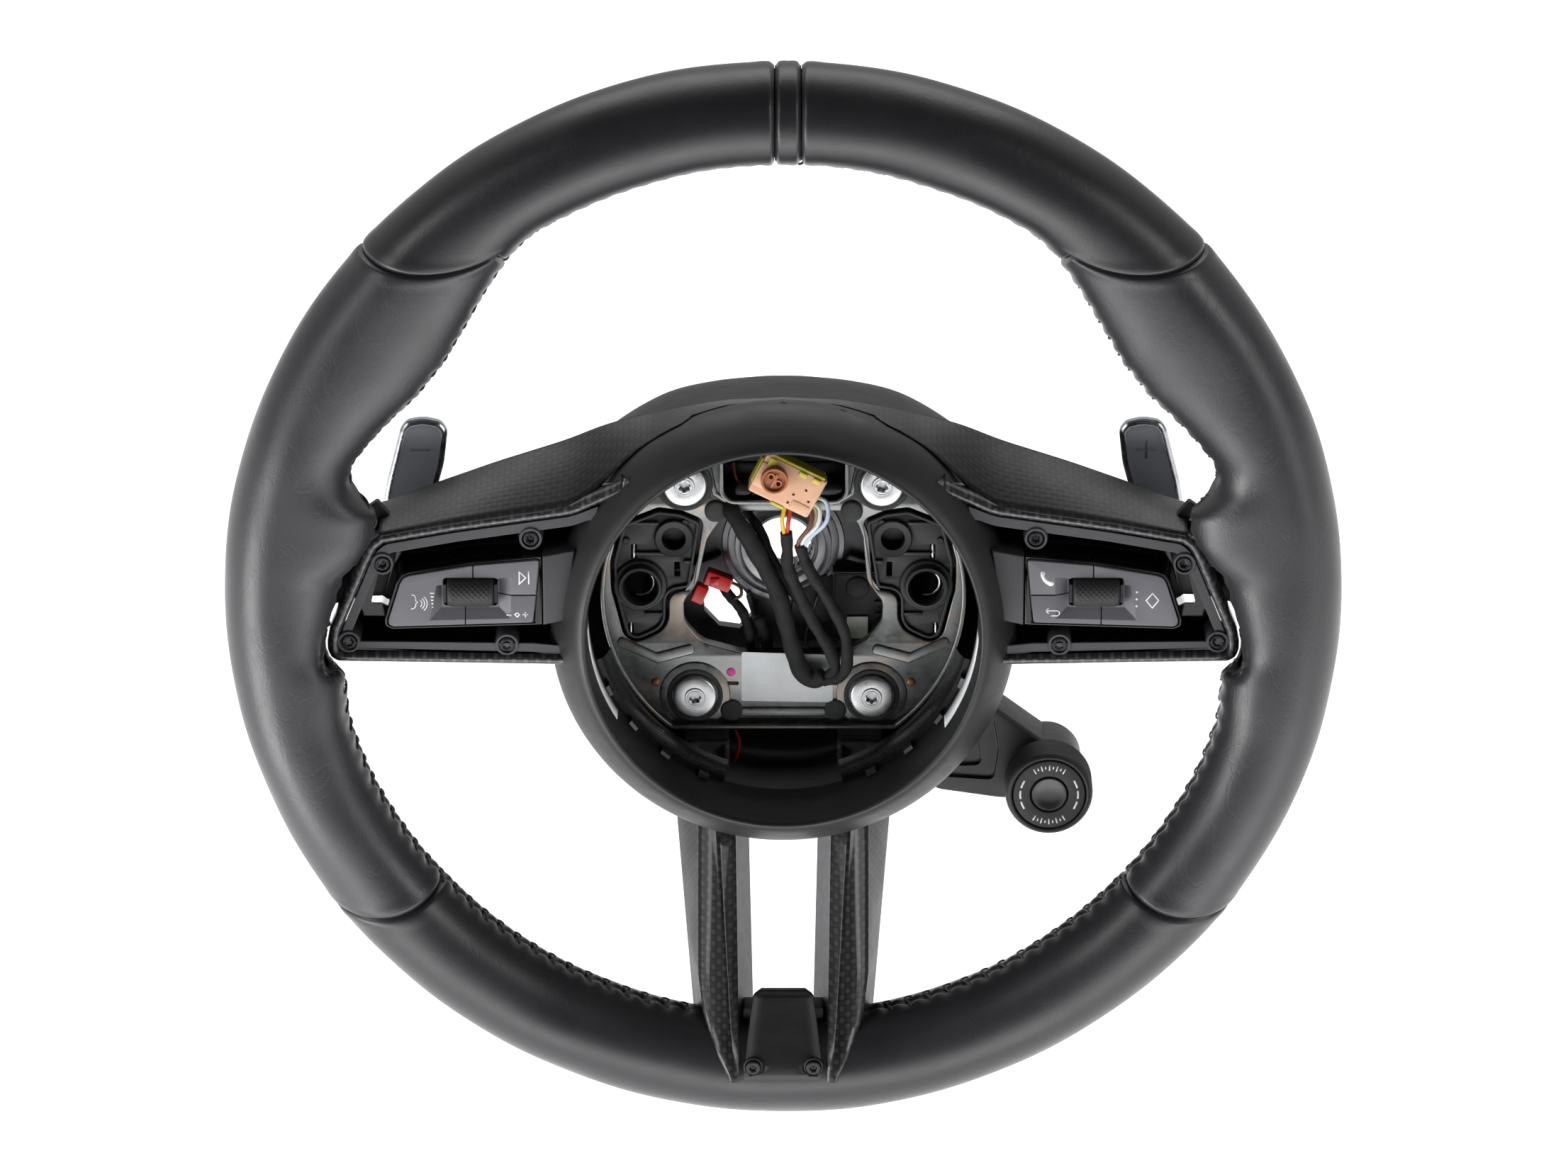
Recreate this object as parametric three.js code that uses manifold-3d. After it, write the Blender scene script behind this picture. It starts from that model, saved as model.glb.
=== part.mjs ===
// Three-spoke leather steering wheel for a driving rig or road car, airbag module removed.
// Millimetres. +X to the driver's right, +Z up, +Y away from the driver along the steering axis.
// Shapes are written with depth (Y) measured back from the rim's mid-plane. The assembly is then
// moved so that the origin sits on the steering axis, midway through the wheel's depth.
// Paired parts are built for the right-hand side (+X) and mirrored.

import * as THREE from 'three';
import { mergeVertices } from 'three/addons/utils/BufferGeometryUtils.js';
import Module from 'manifold-3d';

// ---------------------------------------------------------------- driving dimensions
const RIM_RADIUS = 170.5; // centre line of the rim section
const RIM_RADIAL = 17; // half section, radial
const RIM_AXIAL = 18; // half section, along the steering axis
const RIM_SEGMENTS = 40;
const RIM_AROUND = 12;
const CORE_RADIUS = 5.5; // cast rim core
const CORE_AROUND = 6;
const LEATHER = 1.4; // leather thickness
const FIT = 0.3; // gap between foam and leather
const CORE_GAP = 0.35; // gap round the core, and between the rim and the trim
const SPOKE_GAP = 0.4; // gap round the cast spokes in foam, leather and upper trim
const SHELL = 2.6; // thickness of the spoke trim

const FRONT_DEPTH = -19.4; // foremost point of the wheel
const SEAT_DEPTH = 66; // column seat plane
const ORIGIN_DEPTH = (FRONT_DEPTH + SEAT_DEPTH) / 2;
const THROUGH = [-60, 120]; // depth range that passes any part

const AXIS = [0, 0]; // steering axis, [x, z]
const HUB_OPENING = [0, -14]; // centre of the hub opening, [x, z]
const BEZEL_RADIUS = 79;
const BEZEL_LIP_RADIUS = 66.3;
const HUB_SEGMENTS = 36;

// [x, z] of the four horn plate screws
const PLATE_SCREWS = [[-33.5, 27.3], [33.5, 27.3], [-30.3, -49.8], [30.3, -49.8]];

// ---------------------------------------------------------------- solids
const { lerp, radToDeg, degToRad } = THREE.MathUtils;
const wasm = await Module();
wasm.setup();

function toSolid(geometry) {
  geometry.deleteAttribute('normal');
  geometry.deleteAttribute('uv');
  const merged = mergeVertices(geometry, 1e-4);
  const { position } = merged.attributes;
  const corner = (i) => new THREE.Vector3().fromBufferAttribute(position, i);
  const triangles = [];
  let volume = 0;
  for (let i = 0; i < merged.index.count; i += 3) {
    const [first, second, third] = merged.index.array.slice(i, i + 3);
    if (first === second || second === third || first === third) continue;
    triangles.push(first, second, third);
    volume += corner(first).dot(corner(second).cross(corner(third)));
  }
  // a negative volume means the faces point inward
  if (volume < 0) triangles.reverse();
  return new wasm.Manifold(new wasm.Mesh({
    numProp: 3,
    vertProperties: new Float32Array(position.array),
    triVerts: new Uint32Array(triangles),
  }));
}

function toGeometry(solid) {
  const mesh = solid.getMesh();
  const geometry = new THREE.BufferGeometry();
  const positions = new Float32Array(mesh.vertProperties);
  geometry.setAttribute('position', new THREE.BufferAttribute(positions, 3));
  geometry.setIndex(new THREE.BufferAttribute(new Uint32Array(mesh.triVerts), 1));
  geometry.computeVertexNormals();
  return geometry;
}

const union = (...solids) => solids.reduce((sum, solid) => sum.add(solid));
const cut = (body, ...tools) => tools.reduce((rest, tool) => rest.subtract(tool), body);
const mirrored = (solid) => solid.mirror([1, 0, 0]);
const bothSides = (...solids) => solids.flatMap((solid) => [solid, mirrored(solid)]);

// largest separate piece of a solid
const mainBody = (solid) => solid.decompose()
  .reduce((best, part) => (part.volume() > best.volume() ? part : best));

const toShape = (points) => new THREE.Shape(points.map((point) => new THREE.Vector2(...point)));

// [x, z] outline extruded through a depth range
function prism(points, [front, back]) {
  const options = { depth: back - front, bevelEnabled: false };
  const geometry = new THREE.ExtrudeGeometry(toShape(points), options);
  geometry.rotateX(Math.PI / 2);
  geometry.translate(0, back, 0);
  return toSolid(geometry);
}

// [x, depth] outline extruded from bottom to top
function uprightPrism(points, [bottom, top]) {
  const options = { depth: top - bottom, bevelEnabled: false };
  const geometry = new THREE.ExtrudeGeometry(toShape(points), options);
  geometry.translate(0, 0, bottom);
  return toSolid(geometry);
}

// box given by its x, depth and z ranges
function box(...ranges) {
  const geometry = new THREE.BoxGeometry(...ranges.map(([start, end]) => end - start));
  geometry.translate(...ranges.map(([start, end]) => (start + end) / 2));
  return toSolid(geometry);
}

// cylinder along the depth axis through [x, z]; a different back radius makes a cone
function disc([x, z], radius, [front, back], segments, backRadius = radius) {
  const geometry = new THREE.CylinderGeometry(backRadius, radius, back - front, segments);
  geometry.translate(x, (front + back) / 2, z);
  return toSolid(geometry);
}

// closed [radius, depth] profile turned about the axis through [x, z];
// reshape(radius, angle) gives each point its final radius
function turned(profile, [x, z], segments, reshape = (radius) => radius) {
  const points = [...profile, profile[0]].map((point) => new THREE.Vector2(...point));
  const geometry = new THREE.LatheGeometry(points, segments);
  const { position } = geometry.attributes;
  for (let i = 0; i < position.count; i++) {
    const radius = Math.hypot(position.getX(i), position.getZ(i));
    const angle = Math.atan2(position.getZ(i), position.getX(i));
    const scale = reshape(radius, angle) / radius;
    position.setX(i, position.getX(i) * scale);
    position.setZ(i, position.getZ(i) * scale);
  }
  geometry.translate(x, 0, z);
  return toSolid(geometry);
}

// divided box; place() turns three fractions, each 0..1, into [x, depth, z]
function block(divisions, place) {
  const geometry = new THREE.BoxGeometry(1, 1, 1, ...divisions);
  geometry.translate(0.5, 0.5, 0.5);
  const { position } = geometry.attributes;
  for (let i = 0; i < position.count; i++) {
    position.setXYZ(i, ...place(position.getX(i), position.getY(i), position.getZ(i)));
  }
  return toSolid(geometry);
}

// round wire along a curve
function tube(path, radius, steps, sides) {
  const section = Array.from({ length: sides }, (_, i) => {
    const angle = (2 * Math.PI * i) / sides;
    return [radius * Math.cos(angle), radius * Math.sin(angle)];
  });
  const options = { steps, bevelEnabled: false, extrudePath: path };
  return toSolid(new THREE.ExtrudeGeometry(toShape(section), options));
}

// linear interpolation in [station, value] rows, held constant past both ends
function lookUp(rows, at) {
  if (at <= rows[0][0]) return rows[0][1];
  for (let i = 1; i < rows.length; i++) {
    const [start, startValue] = rows[i - 1];
    const [end, endValue] = rows[i];
    if (at <= end) return lerp(startValue, endValue, (at - start) / (end - start));
  }
  return rows[rows.length - 1][1];
}

const scaled = (points, scaleX, scaleZ) => points.map(([x, z]) => [x * scaleX, z * scaleZ]);
const moved = (points, moveX, moveZ) => points.map(([x, z]) => [x + moveX, z + moveZ]);

// ---------------------------------------------------------------- rim sections
// [degrees above horizontal, inward growth] for the thumb rests and spoke junctions
const THUMB_GROWTH = [
  [-24, 0], [-16, 0.8], [-12, 3.1], [-9, 3.4], [-6, 0], [4, 6], [5, 10.3], [8, 14.8], [13, 14.6],
  [15.5, 4.4], [18, 1.2], [24, 6.1], [31, 12.1], [37, 13], [43, 10.3], [48, 6.5], [54, 1.6],
  [58, 0],
];

// ring with an elliptical section, grown inward by growth(degrees above horizontal)
function ring(radial, axial, around, growth) {
  const tubeRadius = 10; // only a start: every point is moved onto the ellipse
  const geometry = new THREE.TorusGeometry(RIM_RADIUS, tubeRadius, around, RIM_SEGMENTS);
  geometry.rotateX(Math.PI / 2);
  const { position } = geometry.attributes;
  for (let i = 0; i < position.count; i++) {
    const x = position.getX(i);
    const z = position.getZ(i);
    const turn = Math.atan2(z, x);
    const sectionAngle = Math.atan2(position.getY(i), Math.hypot(x, z) - RIM_RADIUS);
    const outward = Math.cos(sectionAngle);
    const inwardGrowth = outward < 0 ? growth(radToDeg(Math.atan2(z, Math.abs(x)))) : 0;
    const radius = RIM_RADIUS + outward * (radial + inwardGrowth);
    const depth = Math.sin(sectionAngle) * axial;
    position.setXYZ(i, radius * Math.cos(turn), depth, radius * Math.sin(turn));
  }
  return toSolid(geometry);
}

const rimSolid = (offset) => ring(
  RIM_RADIAL + offset, RIM_AXIAL + offset, RIM_AROUND, (degrees) => lookUp(THUMB_GROWTH, degrees),
);
const coreSolid = (offset) => ring(
  CORE_RADIUS + offset, CORE_RADIUS + offset, CORE_AROUND, () => 0,
);
const rimClear = rimSolid(CORE_GAP);

// ---------------------------------------------------------------- switch pad outlines
// [x, z] outlines, right-hand side
const FRAME_OUTER = [
  [62, -26.4], [84.2, -25.9], [150.2, -24.9], [152.8, -23.4], [153.9, -20.5], [153.9, -17.5],
  [153, -12.4], [142.7, 12.4], [139.8, 18.2], [135.7, 21.6], [110.8, 26.1], [71.4, 31.9],
  [62, 36.5],
];
const FRAME_INNER = [
  [62, -22.4], [84.2, -21.9], [147.8, -21], [149.4, -20], [149.9, -18], [149.3, -13.8],
  [139.4, 10.4], [137, 15], [133.8, 17.9], [110.2, 22.1], [71, 27.9], [62, 31.4],
];
const TRAY_OUTER = [
  [62, -22], [84.2, -21.5], [147.5, -20.6], [149, -19.7], [149.4, -18], [148.9, -14],
  [139, 10.2], [136.7, 14.7], [133.6, 17.4], [110.1, 21.6], [70.9, 27.4], [62, 31],
];
const TRAY_INNER = [
  [62, -19.8], [84, -19.4], [146.3, -18.6], [147.2, -17.4], [146.9, -14.4], [137.1, 9.6],
  [135, 13.2], [132.6, 15.3], [110, 19.4], [70.9, 25.1], [62, 28.6],
];
const POD = [
  [62, -9.2], [84.5, -10.6], [131.6, -12.1], [134, -11], [134.2, -8.8], [129.9, 5],
  [128.2, 7.6], [125.8, 8.6], [104.9, 12], [81.5, 14.3], [62, 17],
];
const POD_CLEAR = [
  [60, -9.9], [84.4, -11.2], [132, -12.8], [134.8, -11.4], [134.9, -8.6], [130.6, 5.4],
  [128.7, 8.2], [126, 9.3], [105, 12.7], [81.5, 15], [60, 18],
];
const KEYS = [
  [84.2, -9.4], [131.2, -10.9], [132.7, -10.2], [132.9, -8.6], [128.7, 4.6], [127.4, 6.6],
  [125.4, 7.4], [104.9, 10.9], [82, 13],
];
const TRAY_SLOT = [[132.1, 5.2], [136.6, 3.6], [139.6, -8.6], [135.6, -8.6]];
const PAD_SCREWS = [[84.8, 19.5], [134.8, 10.5], [146.6, -17.6], [93.2, -18.6]];

// ---------------------------------------------------------------- cast armature
// [x, depth] edges of a side spoke
const SPOKE_FRONT = [
  [34, 50.5], [59.5, 48.5], [70, 36.5], [84, 26], [146, 22], [156, 9], [168, -3.5],
];
const SPOKE_REAR = [[168, 4], [159, 18], [147, 31], [84, 35], [75, 45], [63, 56], [38, 58]];
const SPOKE_Z = [-7, 15];

function spokeBar(gap = 0) {
  const outline = [...moved(SPOKE_FRONT, 0, -gap), ...moved(SPOKE_REAR, 0, gap)];
  return uprightPrism(outline, [SPOKE_Z[0] - gap, SPOKE_Z[1] + gap]);
}

// lower leg: values at its hub end and rim end, and [z, depth] of its centre line
const LEG = { z: [-60, -168], x: [26, 20.5], halfWidth: [6.5, 3.6], halfDepth: 3.4 };
const LEG_CENTRE = [[-168, 0], [-150, 8], [-120, 22], [-95, 35], [-76, 48], [-60, 54]];

const legBar = (gap = 0) => block([10, 1, 1], (along, across, back) => {
  const z = lerp(...LEG.z, along);
  const x = lerp(...LEG.x, along) + (2 * across - 1) * (lerp(...LEG.halfWidth, along) + gap);
  return [x, lookUp(LEG_CENTRE, z) + (2 * back - 1) * (LEG.halfDepth + gap), z];
});

// [x, z] outlines of the hub plate and its windows
const HUB_PLATE = [
  [-48, 32], [-38, 41], [38, 41], [48, 32], [51, -8], [48, -40], [40, -60], [33, -66],
  [-33, -66], [-40, -60], [-48, -40], [-51, -8],
];
const SIDE_WINDOW = [
  [-28, -17], [-23, -12.8], [-17, -13.4], [-11.5, -20], [-11, -27], [-15, -31.5], [-22, -30.5],
  [-27, -25],
];
const TOP_WINDOW = [[-30, 20], [-22, 34], [22, 34], [30, 20], [20, 18], [-20, 18]];
const BOTTOM_WINDOW = [[-24, -40], [24, -40], [20, -58], [-20, -58]];

const BORE = { radius: 10.5, recessRadius: 15, recess: [46, 53.5] };
const HUB_FRONT = 54; // front face of the hub plate
const PLATE_POST = { radius: 6.4, depths: [49.3, 59.5], holeRadius: 2.75, hole: [45, 57] };

function armatureSolid() {
  const casting = union(
    coreSolid(0),
    ...bothSides(spokeBar(), legBar()),
    prism(HUB_PLATE, [HUB_FRONT, 58.5]),
    // boss: tapered shoulder, front and rear collars
    disc(AXIS, 21, [HUB_FRONT, 62], 24, 17),
    disc(AXIS, 16.5, [50, SEAT_DEPTH], 24),
    disc(AXIS, 19.5, [58, SEAT_DEPTH], 24),
    ...PLATE_SCREWS.map((at) => disc(at, PLATE_POST.radius, PLATE_POST.depths, 12)),
  );
  return mainBody(cut(
    casting,
    disc(AXIS, BORE.radius, THROUGH, 24),
    disc(AXIS, BORE.recessRadius, BORE.recess, 24),
    ...bothSides(prism(SIDE_WINDOW, THROUGH)),
    prism(moved(scaled(TOP_WINDOW, 0.8, 1), 0, 3), THROUGH),
    prism(BOTTOM_WINDOW, THROUGH),
    ...PLATE_SCREWS.map((at) => disc(at, PLATE_POST.holeRadius, PLATE_POST.hole, 10)),
  ));
}

// ---------------------------------------------------------------- rim foam and leather
const BAND_X = [-3, 6]; // twelve o'clock strip, slightly right of centre
const TOP_SEAM_Z = 122; // upper leather seams
const SEAM_HALF_GAP = 0.15;
const REGION_X = [60, 230]; // reach of the cutting regions from the centre line
const RIM_OUTSIDE = REGION_X[1];

// lower seam: a straight line through (x, z), falling outward
const LOWER_SEAM = { x: 155, z: -108, slope: 6.5 / 40 };
const lowerSeamZ = (x) => LOWER_SEAM.z + (LOWER_SEAM.x - x) * LOWER_SEAM.slope;

const padPocket = prism(moved(scaled(FRAME_OUTER, 1.003, 1.02), 0.1, 0), THROUGH);
const rimOpenings = bothSides(spokeBar(SPOKE_GAP), legBar(SPOKE_GAP), padPocket);
const foam = mainBody(cut(rimSolid(-LEATHER - FIT), coreSolid(CORE_GAP), ...rimOpenings));

const leatherShell = rimSolid(0).subtract(rimSolid(-LEATHER));
const leatherPiece = (region) => mainBody(cut(leatherShell.intersect(region), ...rimOpenings));

const topRegion = (xRange) => box(xRange, THROUGH, [TOP_SEAM_Z + SEAM_HALF_GAP, RIM_OUTSIDE]);
const bandRegion = box(
  [BAND_X[0] + SEAM_HALF_GAP, BAND_X[1] - SEAM_HALF_GAP], THROUGH, [100, RIM_OUTSIDE],
);
const [regionInner, regionOuter] = REGION_X;
const gripRegion = prism([
  [regionInner, TOP_SEAM_Z - SEAM_HALF_GAP],
  [regionOuter, TOP_SEAM_Z - SEAM_HALF_GAP],
  [regionOuter, lowerSeamZ(regionOuter) + SEAM_HALF_GAP],
  [regionInner, lowerSeamZ(regionInner) + SEAM_HALF_GAP],
], THROUGH);
const bottomRegion = prism([
  ...[-regionOuter, -regionInner, regionInner, regionOuter]
    .map((x) => [x, lowerSeamZ(Math.abs(x)) - SEAM_HALF_GAP]),
  [regionOuter, -RIM_OUTSIDE],
  [-regionOuter, -RIM_OUTSIDE],
], THROUGH);

// ---------------------------------------------------------------- hub bezel
// [radius, depth]
const BEZEL_PROFILE = [
  [BEZEL_LIP_RADIUS, -3], [67.2, -4], [69.6, -2.6], [74.6, 3.6], [78, 9.2],
  [BEZEL_RADIUS, 12.4], [BEZEL_RADIUS, 17], [77.3, 17], [76.6, 12], [73, 5.6], [68.8, 0.6],
  [67.8, 3], [67.8, 27.5], [BEZEL_LIP_RADIUS, 27.5],
];
const bezelClearance = (depths) => disc(HUB_OPENING, BEZEL_RADIUS + 0.5, depths, HUB_SEGMENTS);
const bezelClear = bezelClearance(THROUGH);
const bezelFront = bezelClearance([THROUGH[0], 17.4]); // leaves what lies behind the bezel

// ---------------------------------------------------------------- upper spoke trim
// wing over the hub joined to both pad frames; columns are [distance from centre, value]
const WING_END = 135.7;
const WING_FRONT_Z = [
  [0, 65.7], [20, 63.1], [38, 56], [52, 46.5], [62, 37.5], [66, 34.3], [71.4, 31.9],
  [110.8, 26.1], [WING_END, 21.6],
];
const WING_FRONT_DEPTH = [[0, 13], [48, 12.4], [60, 9.5], [72, 4.4], [80, 4], [136, 4]];
const WING_BACK_Z = [
  [0, 62], [20, 61], [38, 57.5], [50, 55.2], [61, 51.9], [73, 46.8], [97, 38.9], [120, 30.4],
  [WING_END, 24],
];
const WING_BACK_DEPTH = 28;

const wing = block([36, 2, 1], (along, back, down) => {
  const x = lerp(-WING_END, WING_END, along);
  const out = Math.abs(x);
  const z = lerp(lookUp(WING_FRONT_Z, out), lookUp(WING_BACK_Z, out), back);
  return [x, lerp(lookUp(WING_FRONT_DEPTH, out), WING_BACK_DEPTH, back), z - SHELL * down];
});
const padFrame = prism(FRAME_OUTER, [4, 16]).subtract(prism(FRAME_INNER, THROUGH));
const upperTrim = mainBody(cut(
  union(wing, ...bothSides(padFrame)), bezelFront, ...bothSides(spokeBar(SPOKE_GAP)),
));

// ---------------------------------------------------------------- lower spoke trim
// right leg; columns are [z, value], rim end first
const LOWER_TOP = -84; // top of the lower spoke parts
const TRIM_END = -169.6;
const RIDGE_DEPTH = [
  [TRIM_END, FRONT_DEPTH], [-165, -18.8], [-160, -16.8], [-154, -13], [-90, 17],
  [LOWER_TOP, 19.8],
];
const RIDGE_X = [[TRIM_END, 16.9], [-90, 22.5], [LOWER_TOP, 22.9]];
const OUTER_X = [
  [TRIM_END, 18.2], [-165, 20.4], [-160, 23], [-150, 27.2], [-137, 29.2], [-90, 29.4],
  [LOWER_TOP, 29.4],
];
const INNER_X = [
  [TRIM_END, 14.9], [-160, 14.8], [-145, 15.3], [-90, 16.3], [LOWER_TOP, 16.3],
];
// how far the outer and inner edges lie behind the ridge
const EDGE_DROP = [[TRIM_END, 0.6], [-160, 1.6], [-150, 3.2], [-137, 4], [LOWER_TOP, 4]];

const legTrim = block([12, 2, 1], (along, across, back) => {
  const z = lerp(LOWER_TOP, TRIM_END, along);
  const line = Math.round(2 * across); // 0 outer edge, 1 ridge, 2 inner edge
  const drop = line === 1 ? 0 : lookUp(EDGE_DROP, z);
  const x = lookUp([OUTER_X, RIDGE_X, INNER_X][line], z);
  return [x, lookUp(RIDGE_DEPTH, z) + drop + back * SHELL, z];
});
const lowerTrim = mainBody(cut(
  union(...bothSides(legTrim), box([-20, 20], [20.5, 23.4], [-87.8, LOWER_TOP])),
  rimClear, bezelFront,
));

// ---------------------------------------------------------------- lower spoke backing
// rear edges of the right backing leg, [z, value]
const BACKING_END = -158;
const BACKING_WALL = 1.8;
const BACKING_DEPTH = [[BACKING_END, 14], [-93, 44], [LOWER_TOP, 46]];
const BACKING_OUTER_X = [[BACKING_END, 30.6], [-93, 36.9], [LOWER_TOP, 37.4]];
const BACKING_INNER_X = [[BACKING_END, 10.3], [-93, 12.1], [LOWER_TOP, 12.1]];

// an inset leg is the hollow: narrower, but longer and reaching further forward
const backingLeg = (inset = 0) => block([10, 1, 1], (along, across, back) => {
  const z = lerp(LOWER_TOP + inset * 2, BACKING_END - inset * 2, along);
  const frontDepth = lookUp(RIDGE_DEPTH, z) + (inset ? 1 : 7.2);
  const backDepth = lookUp(BACKING_DEPTH, z) - inset;
  const isOuter = across < 0.5;
  const frontX = isOuter ? lookUp(OUTER_X, z) - 0.4 - inset : lookUp(INNER_X, z) + 0.4 + inset;
  const backX = isOuter
    ? lookUp(BACKING_OUTER_X, z) - inset
    : lookUp(BACKING_INNER_X, z) + inset;
  return [lerp(frontX, backX, back), lerp(frontDepth, backDepth, back), z];
});
const backingLegs = bothSides(backingLeg());
const backingHollows = bothSides(backingLeg(BACKING_WALL));

const lowerBacking = mainBody(cut(
  union(
    cut(union(...backingLegs), ...backingHollows),
    // upper and lower crosspieces
    box([-15, 15], [28, 38], [-90.5, -86]),
    box([-13.6, 13.6], [-3.2, 6], [-153.2, -148.8]),
  ),
  rimClear,
  ...bothSides(legBar(0.5)),
  disc(HUB_OPENING, BEZEL_RADIUS - 6, [20, 70], HUB_SEGMENTS, BEZEL_RADIUS - 4),
));

// ---------------------------------------------------------------- lower spoke cover
// plate between the legs at the rim: front face as [z, depth]
const COVER_Z = [-170.3, -141.2];
const COVER_HALF_WIDTH = [13.9, 10.1]; // at the lower and upper ends
const COVER_DEPTH = [
  [COVER_Z[0], -18.8], [-165, -18], [-158, -14.6], [-150, -10.3], [COVER_Z[1], -6.2],
];
const lowerCover = mainBody(cut(
  block([2, 8, 1], (across, up, back) => {
    const z = lerp(...COVER_Z, up);
    const x = lerp(-1, 1, across) * lerp(...COVER_HALF_WIDTH, up);
    return [x, lookUp(COVER_DEPTH, z) + back * 3, z];
  }),
  rimClear,
));
const coverScrew = disc([10.3, -164.4], 2.3, [-19.3, -18.4], 10);

// ---------------------------------------------------------------- mode switch stalk
const KNOB = { at: [91, -79.5], front: 20, length: 14.2, coreRadius: 12.4, inner: 12.75, outer: 15 };
const BUTTON_RADIUS = 6.2;
// [x, z] outlines of the arm and of the recess in its front
const ARM = [
  [53.5, -46], [66, -50.5], [74, -55.5], [90, -67.5], [92, -89], [74, -88.3], [52, -85],
  [44, -72],
];
const ARM_RECESS = [[40, -54], [66, -56], [74, -62], [76, -80], [56, -78], [44, -70]];

function armSolid(gap = 0) {
  const outline = ARM.map(([x, z]) => [x < 60 ? x - 1.4 * gap : x, z > -70 ? z + gap : z - gap]);
  return union(
    prism(outline, [38 - gap, 57.5 + gap]),
    disc(KNOB.at, 12 + gap, [34.6 - gap, 60 + gap], 20),
  );
}
const stalk = cut(
  union(armSolid(), disc(KNOB.at, KNOB.coreRadius, [KNOB.front, 35], 24)),
  disc(KNOB.at, BUTTON_RADIUS + 0.35, [10, KNOB.front + 5], 20),
  prism(scaled(HUB_PLATE, 1.02, 1.02), [40, 70]),
  prism(moved(ARM_RECESS, 0, -1), [30, 40.5]),
);
const KNOB_BACK = KNOB.front + KNOB.length;
const knob = turned([
  [KNOB.inner, KNOB.front + 0.2], [13.6, KNOB.front - 0.2], [KNOB.outer, KNOB.front + 1.6],
  [KNOB.outer, KNOB_BACK], [KNOB.inner, KNOB_BACK],
], KNOB.at, 24);
const button = disc(KNOB.at, BUTTON_RADIUS, [KNOB.front + 0.1, KNOB.front + 3.6], 20);

// ---------------------------------------------------------------- rear cover
const REAR_RADIUS = 78;
// [radius, depth]
const REAR_PROFILE = [
  [REAR_RADIUS, 28.7], [77.6, 45], [76, 57], [73.5, 62], [70, 64], [44, 64], [44, 62],
  [69.4, 62], [71.8, 60.4], [74, 56], [75.6, 45], [76, 28.7],
];
// [degrees above horizontal, radius reached in place of REAR_RADIUS]
const REAR_REACH = [
  [-90, 69.5], [-45, 71], [-25, 74], [0, 79], [20, 82], [38, 84], [52, 81.5], [60, 80.4],
  [70, 77.8], [80, 76], [90, 75.6],
];
const REACH_BLEND = [46, 68]; // radii over which the reach takes effect

function reachOut(radius, angle) {
  const degreesUp = radToDeg(Math.asin(Math.sin(angle)));
  const [start, end] = REACH_BLEND;
  const share = THREE.MathUtils.clamp((radius - start) / (end - start), 0, 1);
  return radius + (lookUp(REAR_REACH, degreesUp) - REAR_RADIUS) * share;
}
const rearCover = mainBody(cut(
  turned(REAR_PROFILE, HUB_OPENING, HUB_SEGMENTS, reachOut),
  ...bothSides(spokeBar(1), legBar(1)),
  armSolid(0.5),
  ...backingLegs,
  ...backingHollows,
  box([-40, 40], [20, 47], [-100, -83]),
));

// ---------------------------------------------------------------- horn plate
const PLATE = { at: [0, -12], radius: 62.4, front: 38, bottom: -61, skirt: 1.6 };
const PLATE_SKIRT_FRONT = PLATE.front - 4;
// [x, z] outlines; the carrier is right-hand
const CARRIER = [
  [28.2, 13.6], [35, 16.6], [42.4, 17.6], [54.6, 12.6], [58, -1], [57.6, -11.4], [52.9, -31],
  [40.1, -24.8], [40, -11.6], [31.8, -10.4],
];
const CARRIER_HOLE = CARRIER.map(([x, z]) => [43.5 + (x - 43.5) * 1.04, -5 + (z + 5) * 1.025]);
const PLATE_WINDOW = [
  [-22.3, 9.8], [21.1, 10.6], [25, 6], [27.4, -9.2], [33.6, -15], [33.8, -20], [29, -27.6],
  [20.2, -33.6], [-19.4, -33.6], [-29, -27], [-34.3, -20.8], [-34.2, -14.5], [-27, -9],
];
const TOP_NOTCH = [[-20, 23.2], [20.5, 23.2], [20.5, 80], [-20, 80]];

const plateDisc = (radius, depths) => disc(PLATE.at, radius, depths, HUB_SEGMENTS);
const hornPlate = mainBody(cut(
  union(
    plateDisc(PLATE.radius, [PLATE.front, PLATE.front + 2]),
    plateDisc(PLATE.radius, [PLATE_SKIRT_FRONT, PLATE.front + 0.5])
      .subtract(plateDisc(PLATE.radius - PLATE.skirt, THROUGH)),
    // straight skirt along the bottom edge
    box(
      [-37.6, 37.6], [PLATE_SKIRT_FRONT, PLATE.front + 1],
      [PLATE.bottom, PLATE.bottom + PLATE.skirt],
    ),
  ),
  box([-100, 100], THROUGH, [-200, PLATE.bottom]),
  prism(TOP_NOTCH, THROUGH),
  prism(PLATE_WINDOW, THROUGH),
  ...bothSides(prism(CARRIER_HOLE, [36, 60])),
  ...PLATE_SCREWS.map((at) => disc(at, 4, THROUGH, 12)),
));

const CARRIER_RING = [48.6, -9.6]; // [x, z]
const carrier = cut(
  union(
    prism(CARRIER, [37.6, 45]),
    disc(CARRIER_RING, 8.3, [34.8, 44], 18),
    disc([37.4, 8], 5.6, [35.8, 44], 12),
  ),
  disc(CARRIER_RING, 5.6, THROUGH, 16),
);

// head, shank and narrower tip
const plateScrew = (at) => union(
  disc(at, 7.6, [33.4, 37.6], 18),
  disc(at, 3, [37.4, 49], 10),
  disc(at, 2.4, [48.8, 56.2], 8),
);

const SPRING = { radius: 5, depths: [41.1, 46.9], turns: 2.25, wireRadius: 0.55 };

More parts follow.
